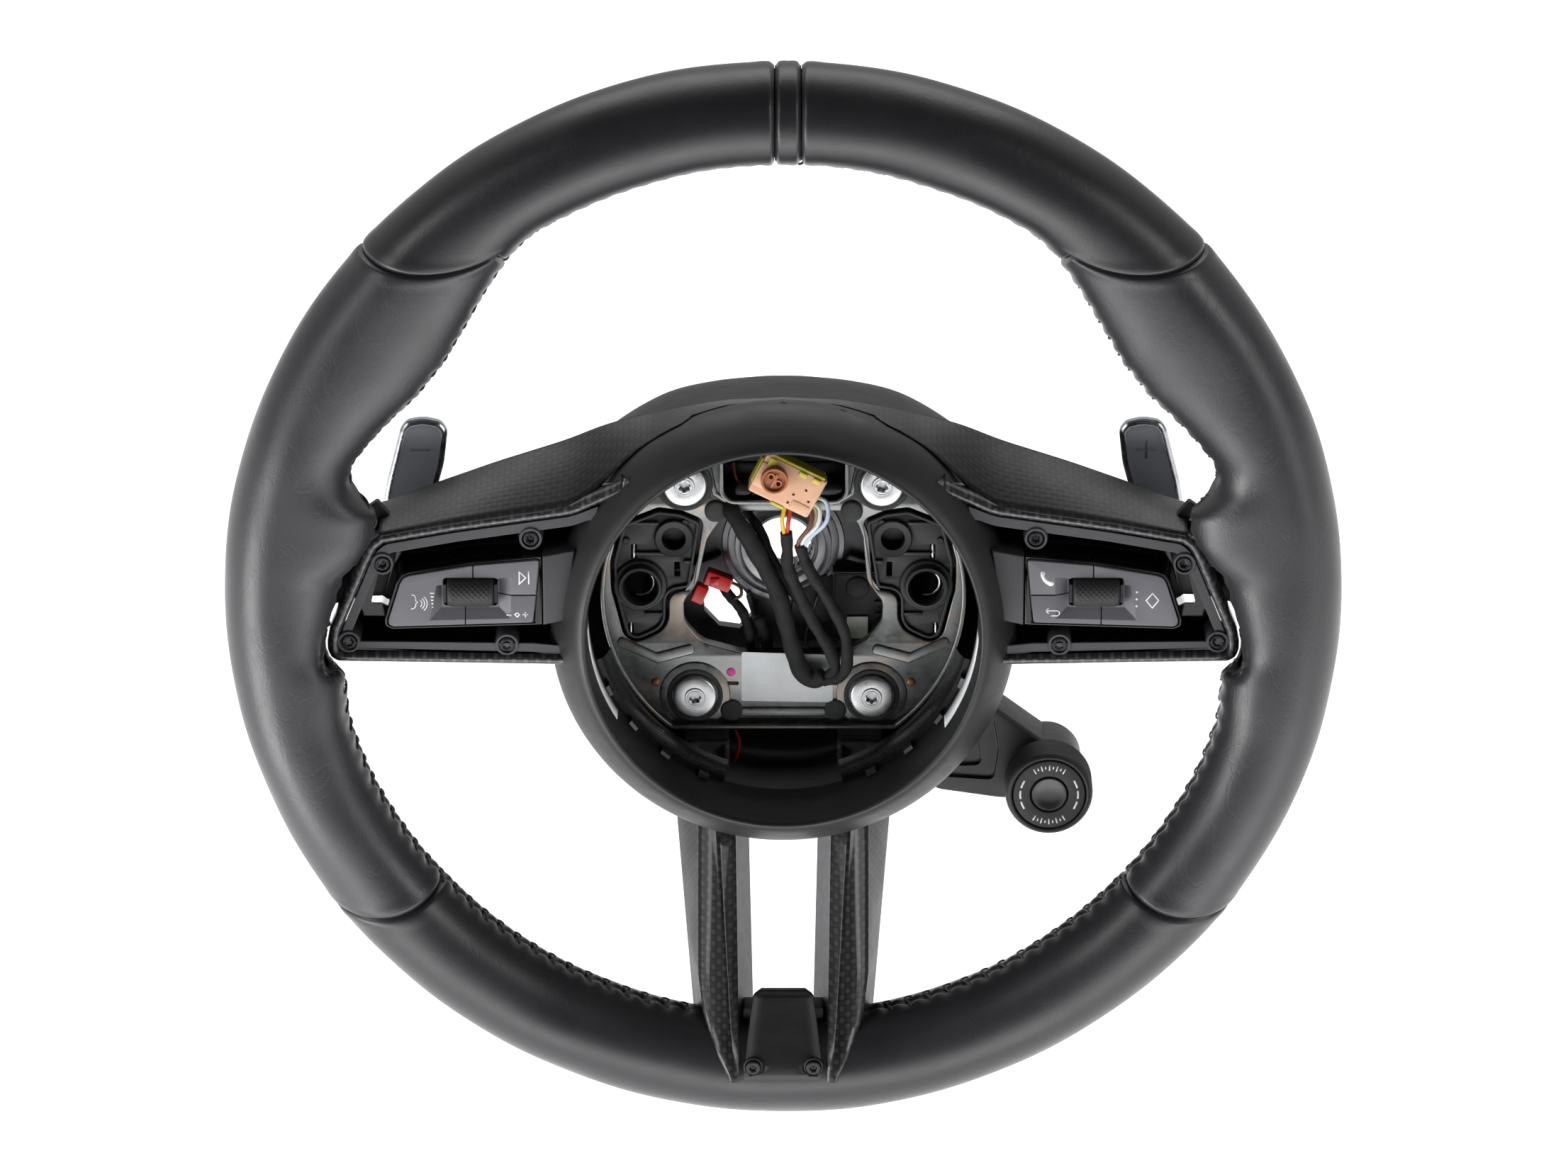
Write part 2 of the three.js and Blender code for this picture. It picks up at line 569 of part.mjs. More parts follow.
class Coil extends THREE.Curve {
  constructor([x, z]) {
    super();
    Object.assign(this, { x, z });
  }

  getPoint(fraction, target = new THREE.Vector3()) {
    const angle = 2 * Math.PI * SPRING.turns * fraction;
    return target.set(
      this.x + SPRING.radius * Math.cos(angle),
      lerp(...SPRING.depths, fraction),
      this.z + SPRING.radius * Math.sin(angle),
    );
  }
}
const spring = (at) => tube(new Coil(at), SPRING.wireRadius, 20, 4);

// ---------------------------------------------------------------- switch pads
const tray = mainBody(cut(
  union(
    prism(TRAY_OUTER, [5.6, 19.5]).subtract(prism(TRAY_INNER, [0, 17.8])),
    ...PAD_SCREWS.map((at) => disc(at, 3.4, [7.5, 19], 10).intersect(prism(TRAY_OUTER, THROUGH))),
  ),
  bezelClear,
  prism(POD_CLEAR, [10, 30]),
  prism(TRAY_SLOT, [10, 30]),
  // screw holes with head recesses
  ...PAD_SCREWS.flatMap((at) => [disc(at, 1.45, [0, 16.4], 8), disc(at, 2.9, [0, 7.6], 10)]),
));
const padScrew = (at) => union(disc(at, 2.4, [5.7, 7.2], 10), disc(at, 1.1, [7, 15], 6));

// roller, its axis along X, and its cradle
const ROLLER = { x: 105.2, z: 1.3, depth: 3, radius: 5, halfLength: 7.8 };
const CRADLE = { halfLength: 9.1, cheek: 1, cheekHalfHeight: 3.2, cheekDepths: [1.1, 9.4] };

// box placed about the roller: x from its centre, and half height
const rollerBox = ([left, right], depths, halfHeight) => box(
  [ROLLER.x + left, ROLLER.x + right], depths, [ROLLER.z - halfHeight, ROLLER.z + halfHeight],
);
function rollerRod(halfLength, radius, segments) {
  const geometry = new THREE.CylinderGeometry(radius, radius, 2 * halfLength, segments);
  geometry.rotateZ(Math.PI / 2);
  geometry.translate(ROLLER.x, ROLLER.depth, ROLLER.z);
  return toSolid(geometry);
}
const cheek = (xRange) => rollerBox(xRange, CRADLE.cheekDepths, CRADLE.cheekHalfHeight);
const cradle = cut(
  union(
    rollerBox([-CRADLE.halfLength, CRADLE.halfLength], [9, 12.2], 4.5),
    cheek([-CRADLE.halfLength, CRADLE.cheek - CRADLE.halfLength]),
    cheek([CRADLE.halfLength - CRADLE.cheek, CRADLE.halfLength]),
  ),
  rollerRod(10, 1.35, 10),
);
const roller = union(rollerRod(ROLLER.halfLength, ROLLER.radius, 16), rollerRod(8.9, 1, 8));

const housing = mainBody(cut(
  union(
    prism(POD, [7, 20.4]),
    // raised part beside the hub
    prism(POD, [2.2, 8]).intersect(box([60, 81.6], [-5, 20], [-40, 40])),
  ),
  bezelClear,
  rollerBox([-9.6, 9.6], [0, 14.4], 5),
));

// part of the key outline, cut back round the roller
const keySolid = (xRange, zRange) => prism(KEYS, [2, 5.9])
  .intersect(box(xRange, [0, 20], zRange))
  .subtract(rollerBox([-9.55, 9.55], [-10, 20], 5.55));
const keys = {
  outer: cut(keySolid([104.4, 140], [-30, 30]), box([100, 107.2], [0, 20], [-30, 0])),
  upper: keySolid([60, 104], [0.6, 30]),
  lower: keySolid([60, 106.8], [-30, 0.2]),
};

// ---------------------------------------------------------------- shift paddles
const PIVOT = { x: 90, depth: 46, pinRadius: 1.4 };
const BRACKET = { bottom: -11, top: 19, lug: 4 }; // z, and lug thickness
const BLADE = [ // [x, z]
  [137, -6], [137.2, 12], [135, 25], [129.9, 44.8], [127.6, 47.5], [122, 48.4], [116.4, 47.2],
  [113.9, 44], [115.3, 32], [118.4, 21], [119, 14], [119, -6],
];
const HOLE_Z = [-20, 30];

function pivotRod(radius, [bottom, top], segments = 10) {
  const geometry = new THREE.CylinderGeometry(radius, radius, top - bottom, segments);
  geometry.rotateX(Math.PI / 2);
  geometry.translate(PIVOT.x, PIVOT.depth, (bottom + top) / 2);
  return toSolid(geometry);
}
const lugBottomTop = BRACKET.bottom + BRACKET.lug;
const lugTopBottom = BRACKET.top - BRACKET.lug;
const paddle = cut(
  union(
    prism(BLADE, [44, 48]),
    box([PIVOT.x, 121], [44.5, 47.5], [-6, 14]),
    pivotRod(3.4, [lugBottomTop + 0.4, lugTopBottom - 0.4], 12),
  ),
  pivotRod(PIVOT.pinRadius + 0.4, HOLE_Z),
);
const bracketBox = (halfWidth, depths, zRange) => box(
  [PIVOT.x - halfWidth, PIVOT.x + halfWidth], depths, zRange,
);
const bracket = cut(
  union(
    bracketBox(7, [35.6, 40.6], [BRACKET.bottom, BRACKET.top]),
    bracketBox(3.6, [40, 49.6], [lugTopBottom, BRACKET.top]),
    bracketBox(3.6, [40, 49.6], [BRACKET.bottom, lugBottomTop]),
  ),
  pivotRod(PIVOT.pinRadius + 0.35, HOLE_Z),
  spokeBar(0.3),
);
const pin = pivotRod(PIVOT.pinRadius, [BRACKET.bottom + 0.2, BRACKET.top - 0.2]);

// ---------------------------------------------------------------- electrics
const LOOM_PATH = [ // [x, depth, z]
  [1.4, 30.5, 22], [1.8, 30, 12.2], [3.4, 30, 3.6], [9.6, 29.6, -6], [15.6, 29.6, -15.5],
  [20.4, 29.8, -26], [19.2, 30, -36.4], [13, 30.4, -42], [6.6, 31.4, -38.4], [2.4, 33, -27],
  [-3.3, 34, -10], [-8.3, 35, 3.4], [-13.5, 39, 3.2], [-17, 46, -1.5],
];

// cable with a tilted block at its upper end and a short cylinder beside it
function loomSolid() {
  const points = LOOM_PATH.map((point) => new THREE.Vector3(...point));
  const cable = tube(new THREE.CatmullRomCurve3(points), 2.5, 34, 5);
  const plug = new THREE.BoxGeometry(23, 11, 15);
  plug.rotateY(degToRad(27));
  plug.translate(1.3, 30, 31);
  return union(cable, toSolid(plug), disc([-3.4, 33.2], 4.6, [21.6, 26], 12));
}
const controlModule = box([17, 43], [46.6, 53.4], [-33, -8]);

// ---------------------------------------------------------------- materials
const LEATHER_BLACK = { color: 0x1c1c1e, roughness: 0.5, metalness: 0 };
const SATIN_BLACK = { color: 0x1a1a1c, roughness: 0.55, metalness: 0 };
const GLOSS_BLACK = { color: 0x070708, roughness: 0.12, metalness: 0 };
const CARBON = { color: 0x1d1c1e, roughness: 0.3, metalness: 0.1 };
const KEY_GREY = { color: 0x35363a, roughness: 0.55, metalness: 0 };
const CAST = { color: 0x77787a, roughness: 0.5, metalness: 0.8 };
const ZINC = { color: 0x9b9c98, roughness: 0.38, metalness: 0.9 };
const STEEL = { color: 0xc4c5c6, roughness: 0.3, metalness: 1 };
const BLACK_STEEL = { color: 0x151516, roughness: 0.4, metalness: 0.6 };
const FOAM = { color: 0x2a2a2a, roughness: 0.95, metalness: 0 };
const GUNMETAL = { color: 0x5b6068, roughness: 0.2, metalness: 0.9 };

// ---------------------------------------------------------------- assembly
const wheel = new THREE.Group();
const model = new THREE.Group();
model.position.y = -ORIGIN_DEPTH;
wheel.add(model);

function add(name, solid, finish) {
  const mesh = new THREE.Mesh(toGeometry(solid), new THREE.MeshStandardMaterial(finish));
  mesh.name = name;
  model.add(mesh);
}

add('armature', armatureSolid(), CAST);
add('rim_foam', foam, FOAM);
const leatherRegions = {
  top_left: topRegion([-RIM_OUTSIDE, BAND_X[0] - SEAM_HALF_GAP]),
  top_right: topRegion([BAND_X[1] + SEAM_HALF_GAP, RIM_OUTSIDE]),
  center_band: bandRegion,
  grip_left: mirrored(gripRegion),
  grip_right: gripRegion,
  bottom: bottomRegion,
};
for (const [name, region] of Object.entries(leatherRegions)) {
  add(`rim_leather_${name}`, leatherPiece(region), LEATHER_BLACK);
}
add('hub_bezel', turned(BEZEL_PROFILE, HUB_OPENING, HUB_SEGMENTS), SATIN_BLACK);
add('spoke_trim_upper', upperTrim, CARBON);
add('spoke_trim_lower', lowerTrim, CARBON);
add('lower_spoke_backing', lowerBacking, SATIN_BLACK);
add('lower_spoke_cover', lowerCover, SATIN_BLACK);
add('rear_cover', rearCover, SATIN_BLACK);

for (const [side, place] of [['left', mirrored], ['right', (solid) => solid]]) {
  add(`lower_cover_screw_${side}`, place(coverScrew), BLACK_STEEL);
  add(`switch_bezel_${side}`, place(tray), GLOSS_BLACK);
  add(`switch_housing_${side}`, place(housing), KEY_GREY);
  PAD_SCREWS.forEach((at, i) => {
    add(`switch_screw_${side}_${i + 1}`, place(padScrew(at)), BLACK_STEEL);
  });
  for (const [name, key] of Object.entries(keys)) add(`key_${side}_${name}`, place(key), KEY_GREY);
  add(`roller_cradle_${side}`, place(cradle), SATIN_BLACK);
  add(`roller_${side}`, place(roller), SATIN_BLACK);
  add(`paddle_bracket_${side}`, place(bracket), SATIN_BLACK);
  add(`paddle_pin_${side}`, place(pin), STEEL);
  add(`paddle_${side}`, place(paddle), GUNMETAL);
  add(`clip_carrier_${side}`, place(carrier), SATIN_BLACK);
}

add('mode_stalk', stalk, SATIN_BLACK);
add('mode_knob', knob, SATIN_BLACK);
add('mode_button', button, GLOSS_BLACK);
add('control_module', controlModule, SATIN_BLACK);
add('wiring_harness', loomSolid(), FOAM);
add('horn_plate', hornPlate, ZINC);
PLATE_SCREWS.forEach((at, i) => {
  add(`plate_screw_${i + 1}`, plateScrew(at), STEEL);
  add(`horn_spring_${i + 1}`, spring(at), STEEL);
});

export default wheel;
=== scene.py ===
# Leather-covered steering wheel with an open hub, two switch pads and two shift paddles.
# Shapes are written in millimetres as (x, depth, z): x to the right, depth from the rim's
# mid-plane away from the driver (+Y), z up. The frame's origin lies ORIGIN_DEPTH behind that plane.
import math

import bmesh
import bpy
import numpy as np
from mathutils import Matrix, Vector
from mathutils.geometry import tessellate_polygon


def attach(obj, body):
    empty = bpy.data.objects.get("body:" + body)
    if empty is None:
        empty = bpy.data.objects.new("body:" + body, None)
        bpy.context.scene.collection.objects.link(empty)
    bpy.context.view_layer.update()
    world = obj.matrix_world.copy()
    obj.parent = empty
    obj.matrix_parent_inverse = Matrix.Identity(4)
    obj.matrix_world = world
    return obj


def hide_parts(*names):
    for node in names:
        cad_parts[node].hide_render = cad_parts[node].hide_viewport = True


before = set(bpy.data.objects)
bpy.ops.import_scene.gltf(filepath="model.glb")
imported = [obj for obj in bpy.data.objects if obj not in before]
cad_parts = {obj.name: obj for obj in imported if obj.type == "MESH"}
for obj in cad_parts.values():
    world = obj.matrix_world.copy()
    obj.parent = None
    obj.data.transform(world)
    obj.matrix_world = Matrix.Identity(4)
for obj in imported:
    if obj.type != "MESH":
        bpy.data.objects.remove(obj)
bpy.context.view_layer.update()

MM = 0.001
ORIGIN_DEPTH = 23.3
SIDES = ((-1, "left"), (1, "right"))

# ------------------------------------------------------------------ objects
# A "part" is a pair (points, faces).


def build_mesh(name, part, face_slots=None, triangulate=False):
    """Mesh of a part, with its faces turned outwards."""
    points = np.array(part[0], float).reshape(-1, 3)
    points[:, 1] -= ORIGIN_DEPTH
    mesh = bpy.data.meshes.new(name)
    mesh.from_pydata((points * MM).tolist(), [], part[1])
    if face_slots is not None:
        mesh.polygons.foreach_set("material_index", np.array(face_slots, np.int32))
    bm = bmesh.new()
    bm.from_mesh(mesh)
    bmesh.ops.recalc_face_normals(bm, faces=bm.faces)
    if triangulate:
        bmesh.ops.triangulate(bm, faces=[face for face in bm.faces if len(face.verts) > 4])
    bm.to_mesh(mesh)
    bm.free()
    return mesh


def link_object(name, data):
    ob = bpy.data.objects.new(name, data)
    bpy.context.scene.collection.objects.link(ob)
    return ob


def make(name, part, material, body="root", replaces=None, sharp=None,
         uvs=None, finish=None, second_material=None, face_slots=None):
    """One object riding on a body; sharp is an angle in degrees, finish adds modifiers."""
    mesh = build_mesh(name, part, face_slots)
    if uvs is not None:
        layer = mesh.uv_layers.new(name="UVMap")
        index = np.empty(len(mesh.loops), np.int32)
        mesh.loops.foreach_get("vertex_index", index)
        layer.data.foreach_set("uv", np.asarray(uvs, np.float32)[index].ravel())
    mesh.polygons.foreach_set("use_smooth", np.full(len(mesh.polygons), True))
    if sharp is not None:
        mesh.set_sharp_from_angle(angle=math.radians(sharp))
    ob = link_object(name, mesh)
    mesh.materials.append(material)
    if second_material:
        mesh.materials.append(second_material)
    if finish:
        finish(ob)
    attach(ob, body)
    if replaces:
        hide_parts(replaces)
    return ob


def bevel(ob, width, limit):
    """Rounds edges sharper than limit degrees; width in mm."""
    modifier = ob.modifiers.new("edge", "BEVEL")
    modifier.width = width * MM
    modifier.segments = 2
    modifier.limit_method = "ANGLE"
    modifier.angle_limit = math.radians(limit)
    modifier.harden_normals = True


def weight_normals(ob):
    modifier = ob.modifiers.new("normals", "WEIGHTED_NORMAL")
    modifier.mode = "FACE_AREA"
    modifier.weight = 60
    modifier.keep_sharp = True


def subtract(ob, cutters):
    """Cuts closed parts out of an object, for good."""
    made = []
    for part in cutters:
        cutter = link_object("cut", build_mesh("cut", part, triangulate=True))
        modifier = ob.modifiers.new("cut", "BOOLEAN")
        modifier.operation = "DIFFERENCE"
        modifier.solver = "EXACT"
        modifier.object = cutter
        made.append(cutter)
    graph = bpy.context.evaluated_depsgraph_get()
    new = bpy.data.meshes.new_from_object(
        ob.evaluated_get(graph), preserve_all_data_layers=True, depsgraph=graph)
    old = ob.data
    ob.modifiers.clear()
    ob.data = new
    new.name = ob.name
    bpy.data.meshes.remove(old)
    for cutter in made:
        mesh = cutter.data
        bpy.data.objects.remove(cutter)
        bpy.data.meshes.remove(mesh)


# ------------------------------------------------------------------ outlines in (x, z)


def soft_table(rows, x, blur):
    """Value at x of a piecewise table, blurred so that it has no corners."""
    rows = np.asarray(rows, float)
    xs = np.linspace(rows[0, 0] - 4 * blur, rows[-1, 0] + 4 * blur, 4000)
    values = np.interp(xs, rows[:, 0], rows[:, 1])
    step = xs[1] - xs[0]
    reach = int(3 * blur / step)
    weights = np.exp(-0.5 * (np.arange(-reach, reach + 1) * step / blur) ** 2)
    weights /= weights.sum()
    padded = np.pad(values, len(weights) // 2, mode="edge")
    return np.interp(x, xs, np.convolve(padded, weights, mode="valid"))


def ccw(outline):
    """Outline as tuples, running anticlockwise."""
    p = np.asarray(outline, float)
    q = np.roll(p, -1, 0)
    twice_area = float((p[:, 0] * q[:, 1] - q[:, 0] * p[:, 1]).sum())
    points = [tuple(map(float, point)) for point in outline]
    return points if twice_area > 0 else points[::-1]


def rounded(outline, radius, steps=5):
    """Outline with rounded corners; radius is one value or one per corner."""
    out, count = [], len(outline)
    for i in range(count):
        before, corner, after = (np.array(outline[k % count], float) for k in (i - 1, i, i + 1))
        r = radius[i] if isinstance(radius, (list, tuple)) else radius
        a, b = before - corner, after - corner
        length_a, length_b = np.linalg.norm(a), np.linalg.norm(b)
        a, b = a / length_a, b / length_b
        angle = math.acos(max(-1.0, min(1.0, float(a @ b))))
        if r <= 0 or angle > math.pi - 0.03:
            out.append(tuple(corner))
            continue
        run = min(r / math.tan(angle / 2), 0.47 * length_a, 0.47 * length_b)
        r = run * math.tan(angle / 2)
        bisector = (a + b) / np.linalg.norm(a + b)
        centre = corner + bisector * (r / math.sin(angle / 2))
        first, last = corner + a * run - centre, corner + b * run - centre
        start = math.atan2(first[1], first[0])
        sweep = math.atan2(last[1], last[0]) - start
        sweep = (sweep + math.pi) % (2 * math.pi) - math.pi
        out += [(centre[0] + r * math.cos(start + sweep * k / steps),
                 centre[1] + r * math.sin(start + sweep * k / steps)) for k in range(steps + 1)]
    return out


def inset(outline, amount):
    """Outline turned anticlockwise and moved inwards."""
    p = np.asarray(ccw(outline), float)
    before, after = p - np.roll(p, 1, 0), np.roll(p, -1, 0) - p
    before /= np.maximum(np.linalg.norm(before, axis=1, keepdims=True), 1e-9)
    after /= np.maximum(np.linalg.norm(after, axis=1, keepdims=True), 1e-9)
    normal = np.stack([-before[:, 1], before[:, 0]], 1)
    bisector = normal + np.stack([-after[:, 1], after[:, 0]], 1)
    bisector /= np.maximum(np.linalg.norm(bisector, axis=1, keepdims=True), 1e-9)
    return p + amount * bisector / np.clip((bisector * normal).sum(1), 0.45, 1)[:, None]


def circle(x, z, radius, count=32):
    return [(x + radius * math.cos(2 * math.pi * k / count),
             z + radius * math.sin(2 * math.pi * k / count)) for k in range(count)]


def round_rect(x0, x1, z0, z1, radius=0.0, steps=3):
    x0, x1 = sorted((x0, x1))
    return rounded([(x0, z0), (x1, z0), (x1, z1), (x0, z1)], radius, steps)


def flip(points, sign):
    return [(sign * p[0],) + tuple(p[1:]) for p in points]


def clip(outline, axis, limit, keep_above):
    """Part of an outline on one side of a line across the given axis."""
    out, count = [], len(outline)
    way = 1 if keep_above else -1
    for i in range(count):
        p, q = outline[i], outline[(i + 1) % count]
        a, b = way * (p[axis] - limit), way * (q[axis] - limit)
        if a >= 0:
            out.append(tuple(p))
        if (a >= 0) != (b >= 0):
            t = a / (a - b)
            out.append((p[0] + (q[0] - p[0]) * t, p[1] + (q[1] - p[1]) * t))
    return out


def resample(outline, count):
    """Points evenly spaced along a closed outline."""
    p = np.asarray(list(outline) + [outline[0]], float)
    run = np.concatenate([[0], np.cumsum(np.linalg.norm(np.diff(p, axis=0), axis=1))])
    at = np.linspace(0, run[-1], count, endpoint=False)
    return np.stack([np.interp(at, run, p[:, 0]), np.interp(at, run, p[:, 1])], 1)


def arc(x, z, radius, start, end, count=12):
    """Open line along an arc, angles in degrees."""
    angles = [math.radians(start + (end - start) * k / count) for k in range(count + 1)]
    return [(x + radius * math.cos(a), z + radius * math.sin(a)) for a in angles]


# ------------------------------------------------------------------ parts


def join(parts):
    points, faces = [], []
    for more_points, more_faces in parts:
        base = len(points)
        points.extend([tuple(p) for p in more_points])
        faces.extend([[i + base for i in face] for face in more_faces])
    return points, faces


def grid_faces(rows, cols, base=0, ring=False):
    """Quads of a grid whose columns close round; ring closes the rows too."""
    faces = []
    for i in range(rows if ring else rows - 1):
        here, there = base + i * cols, base + (i + 1) % rows * cols
        for j in range(cols):
            k = (j + 1) % cols
            faces.append([here + j, here + k, there + k, there + j])
    return faces


def loft(rings):
    """Solid through rings of points, closed by two flat ends."""
    points = [tuple(p) for ring in rings for p in ring]
    count = len(rings[0])
    ends = [list(range(count))[::-1], list(range(len(points) - count, len(points)))]
    return points, ends + grid_faces(len(rings), count)


def hoop(rings):
    """Solid through rings of points, the last joined to the first."""
    points = [tuple(p) for ring in rings for p in ring]
    return points, grid_faces(len(rings), len(rings[0]), ring=True)


def plate(outline, front, back, front_edge, back_edge, steps=3, draft=0.0, holes=()):
    """Outline between two depths with rounded edges; draft widens the back by that much."""
    loops = [(ccw(outline), 1.0)] + [(ccw(hole), -1.0) for hole in holes]
    turns = [math.pi / 2 * k / steps for k in range(steps + 1)]
    layers = [(0.0, front)]
    if front_edge > 0:
        layers = [(front_edge * (1 - math.sin(a)), front + front_edge * (1 - math.cos(a)))
                  for a in turns]
    if back_edge > 0:
        layers += [(back_edge * (1 - math.cos(a)), back - back_edge * (1 - math.sin(a)))
                   for a in turns]
    else:
        layers.append((0.0, back))
    points, faces, caps = [], [], ([], [])
    for loop, sign in loops:
        count, base = len(loop), len(points)
        for amount, depth in layers:
            spread = draft * (depth - front) / max(back - front, 1e-9) if sign > 0 else 0.0
            points += [(float(x), depth, float(z)) for x, z in inset(loop, sign * amount - spread)]
        faces += grid_faces(len(layers), count, base)
        caps[0].append(list(range(base, base + count)))
        caps[1].append(list(range(base + (len(layers) - 1) * count, base + len(layers) * count)))
    for cap in caps:
        if len(cap) == 1:
            faces.append(cap[0])
            continue
        flat = [i for loop in cap for i in loop]
        triangles = tessellate_polygon(
            [[Vector((points[i][0], points[i][2], 0)) for i in loop] for loop in cap])
        faces += [[flat[i] for i in triangle] for triangle in triangles]
    return points, faces


def slab(outline, front, back, holes=()):
    """Plate with square edges."""
    return plate(outline, front, back, 0, 0, holes=holes)


def brick(x0, x1, front, back, z0, z1, corner=0.4, front_edge=0.4, back_edge=0.3):
    return plate(round_rect(x0, x1, z0, z1, corner), front, back, front_edge, back_edge, 2)


def turned(profile, x, z, count=64, reach=None):
    """Closed (radius, depth) profile turned about the depth axis through (x, z)."""
    rings = []
    for k in range(count):
        a = 2 * math.pi * k / count
        radii = [(reach(r, a) if reach else r, depth) for r, depth in profile]
        rings.append([(x + r * math.cos(a), depth, z + r * math.sin(a)) for r, depth in radii])
    return hoop(rings)


def spun(profile, x, z, count=48):
    """Open (radius, depth) profile with both ends on the axis, turned about the depth axis."""
    points, faces, rings = [], [], []
    for radius, depth in profile:
        if radius < 1e-6:
            rings.append([len(points)])
            points.append((x, depth, z))
        else:
            rings.append(list(range(len(points), len(points) + count)))
            points += [(px, depth, pz) for px, pz in circle(x, z, radius, count)]
    for p, q in zip(rings, rings[1:]):
        for k in range(count):
            j = (k + 1) % count
            if len(p) == 1:
                faces.append([p[0], q[k], q[j]])
            elif len(q) == 1:
                faces.append([p[k], p[j], q[0]])
            else:
                faces.append([p[k], p[j], q[j], q[k]])
    return points, faces


def sector(profile, start, end, count=60):
    """Closed (radius, depth) profile swept about the hub's axis between two angles."""
    rings = []
    for k in range(count + 1):
        a = math.radians(start + (end - start) * k / count)
        rings.append([(r * math.cos(a), d, HUB_Z + r * math.sin(a)) for r, d in profile])
    return loft(rings)


def catmull(line, step):
    """Points about step apart along a smooth line through the given ones."""
    p = np.asarray(line, float)
    q = np.vstack([2 * p[0] - p[1], p, 2 * p[-1] - p[-2]])
    out = []
    for i in range(1, len(q) - 2):
        a, b, c, d = q[i - 1:i + 3]
        count = max(2, int(round(np.linalg.norm(c - b) / step)))
        t = np.linspace(0, 1, count, endpoint=False)[:, None]
        out.append(0.5 * (2 * b + (c - a) * t + (2 * a - 5 * b + 4 * c - d) * t ** 2
                          + (-a + 3 * b - 3 * c + d) * t ** 3))
    out.append(q[-2][None])
    return np.vstack(out)


def tube(line, radius, sides=10, step=None):
    """Round tube; a step smooths the line first, radius may be a function of 0..1."""
    p = catmull(line, step) if step else np.asarray(line, float)
    tangent = np.gradient(p, axis=0)
    tangent /= np.linalg.norm(tangent, axis=1, keepdims=True)
    up = np.array([0.0, 0.0, 1.0]) if abs(tangent[0][2]) < 0.9 else np.array([1.0, 0.0, 0.0])
    normal = np.cross(tangent[0], up)
    normal /= np.linalg.norm(normal)
    rings = []
    for i in range(len(p)):
        normal = normal - (normal @ tangent[i]) * tangent[i]
        normal /= np.linalg.norm(normal)
        across = np.cross(tangent[i], normal)
        r = radius(i / (len(p) - 1)) if callable(radius) else radius
        angles = [2 * math.pi * k / sides for k in range(sides)]
        rings.append([p[i] + r * (math.cos(a) * normal + math.sin(a) * across) for a in angles])
    return loft(rings)


def shell(outer, inner, wrap=False):
    """Closed skin between two grids of points of the same size, (rows, columns, 3)."""
    outer, inner = np.asarray(outer, float), np.asarray(inner, float)
    rows, cols = outer.shape[:2]
    points = [tuple(p) for p in outer.reshape(-1, 3)] + [tuple(p) for p in inner.reshape(-1, 3)]
    off, faces = rows * cols, []
    cells = cols if wrap else cols - 1
    for i in range(rows - 1):
        for j in range(cells):
            k = (j + 1) % cols
            a, b, c, d = i * cols + j, i * cols + k, (i + 1) * cols + k, (i + 1) * cols + j
            faces.append([a, b, c, d])
            faces.append([off + d, off + c, off + b, off + a])
    for i in (0, rows - 1):
        for j in range(cells):
            a, b = i * cols + j, i * cols + (j + 1) % cols
            faces.append([a, b, off + b, off + a])
    if not wrap:
        for j in (0, cols - 1):
            for i in range(rows - 1):
                a, b = i * cols + j, (i + 1) * cols + j
                faces.append([a, b, off + b, off + a])
    return points, faces


def ribbon(line, width, front, back, flat=False):
    """Raised stroke along an (x, z) line, closed if its last point repeats the first."""
    if tuple(line[0]) == tuple(line[-1]):
        loop = line[:-1]
        return slab(inset(loop, -width / 2), front, back, [inset(loop, width / 2)])
    p = np.asarray(line, float)
    edge = np.diff(p, axis=0)
    edge /= np.linalg.norm(edge, axis=1, keepdims=True)
    along = np.vstack([edge[:1], edge[:-1] + edge[1:], edge[-1:]])
    along /= np.linalg.norm(along, axis=1, keepdims=True)
    across = np.stack([-along[:, 1], along[:, 0]], 1) * width / 2
    tail = [] if flat else [p[0] - along[0] * width / 2]
    tip = [] if flat else [p[-1] + along[-1] * width / 2]
    return slab(tail + list(p - across) + tip + list((p + across)[::-1]), front, back)


def moved(part, move):
    return [move(*p) for p in part[0]], part[1]


def placed(part, x, depth, z, cosine=1.0, sine=0.0):
    """Part moved to (x, depth, z) after a turn about the depth axis."""
    return moved(part, lambda u, d, w: (x + u * cosine + w * sine, depth + d,
                                        z - u * sine + w * cosine))


def clamped(part, radius=74.0):
    """Pushes points inside the hub ring out to a radius where the ring hides them."""
    out = []
    for x, depth, z in part[0]:
        k = max(1.0, radius / max(math.hypot(x, z - HUB_Z), 1e-6))
        out.append((x * k, depth, HUB_Z + (z - HUB_Z) * k))
    return out, part[1]


# ------------------------------------------------------------------ materials


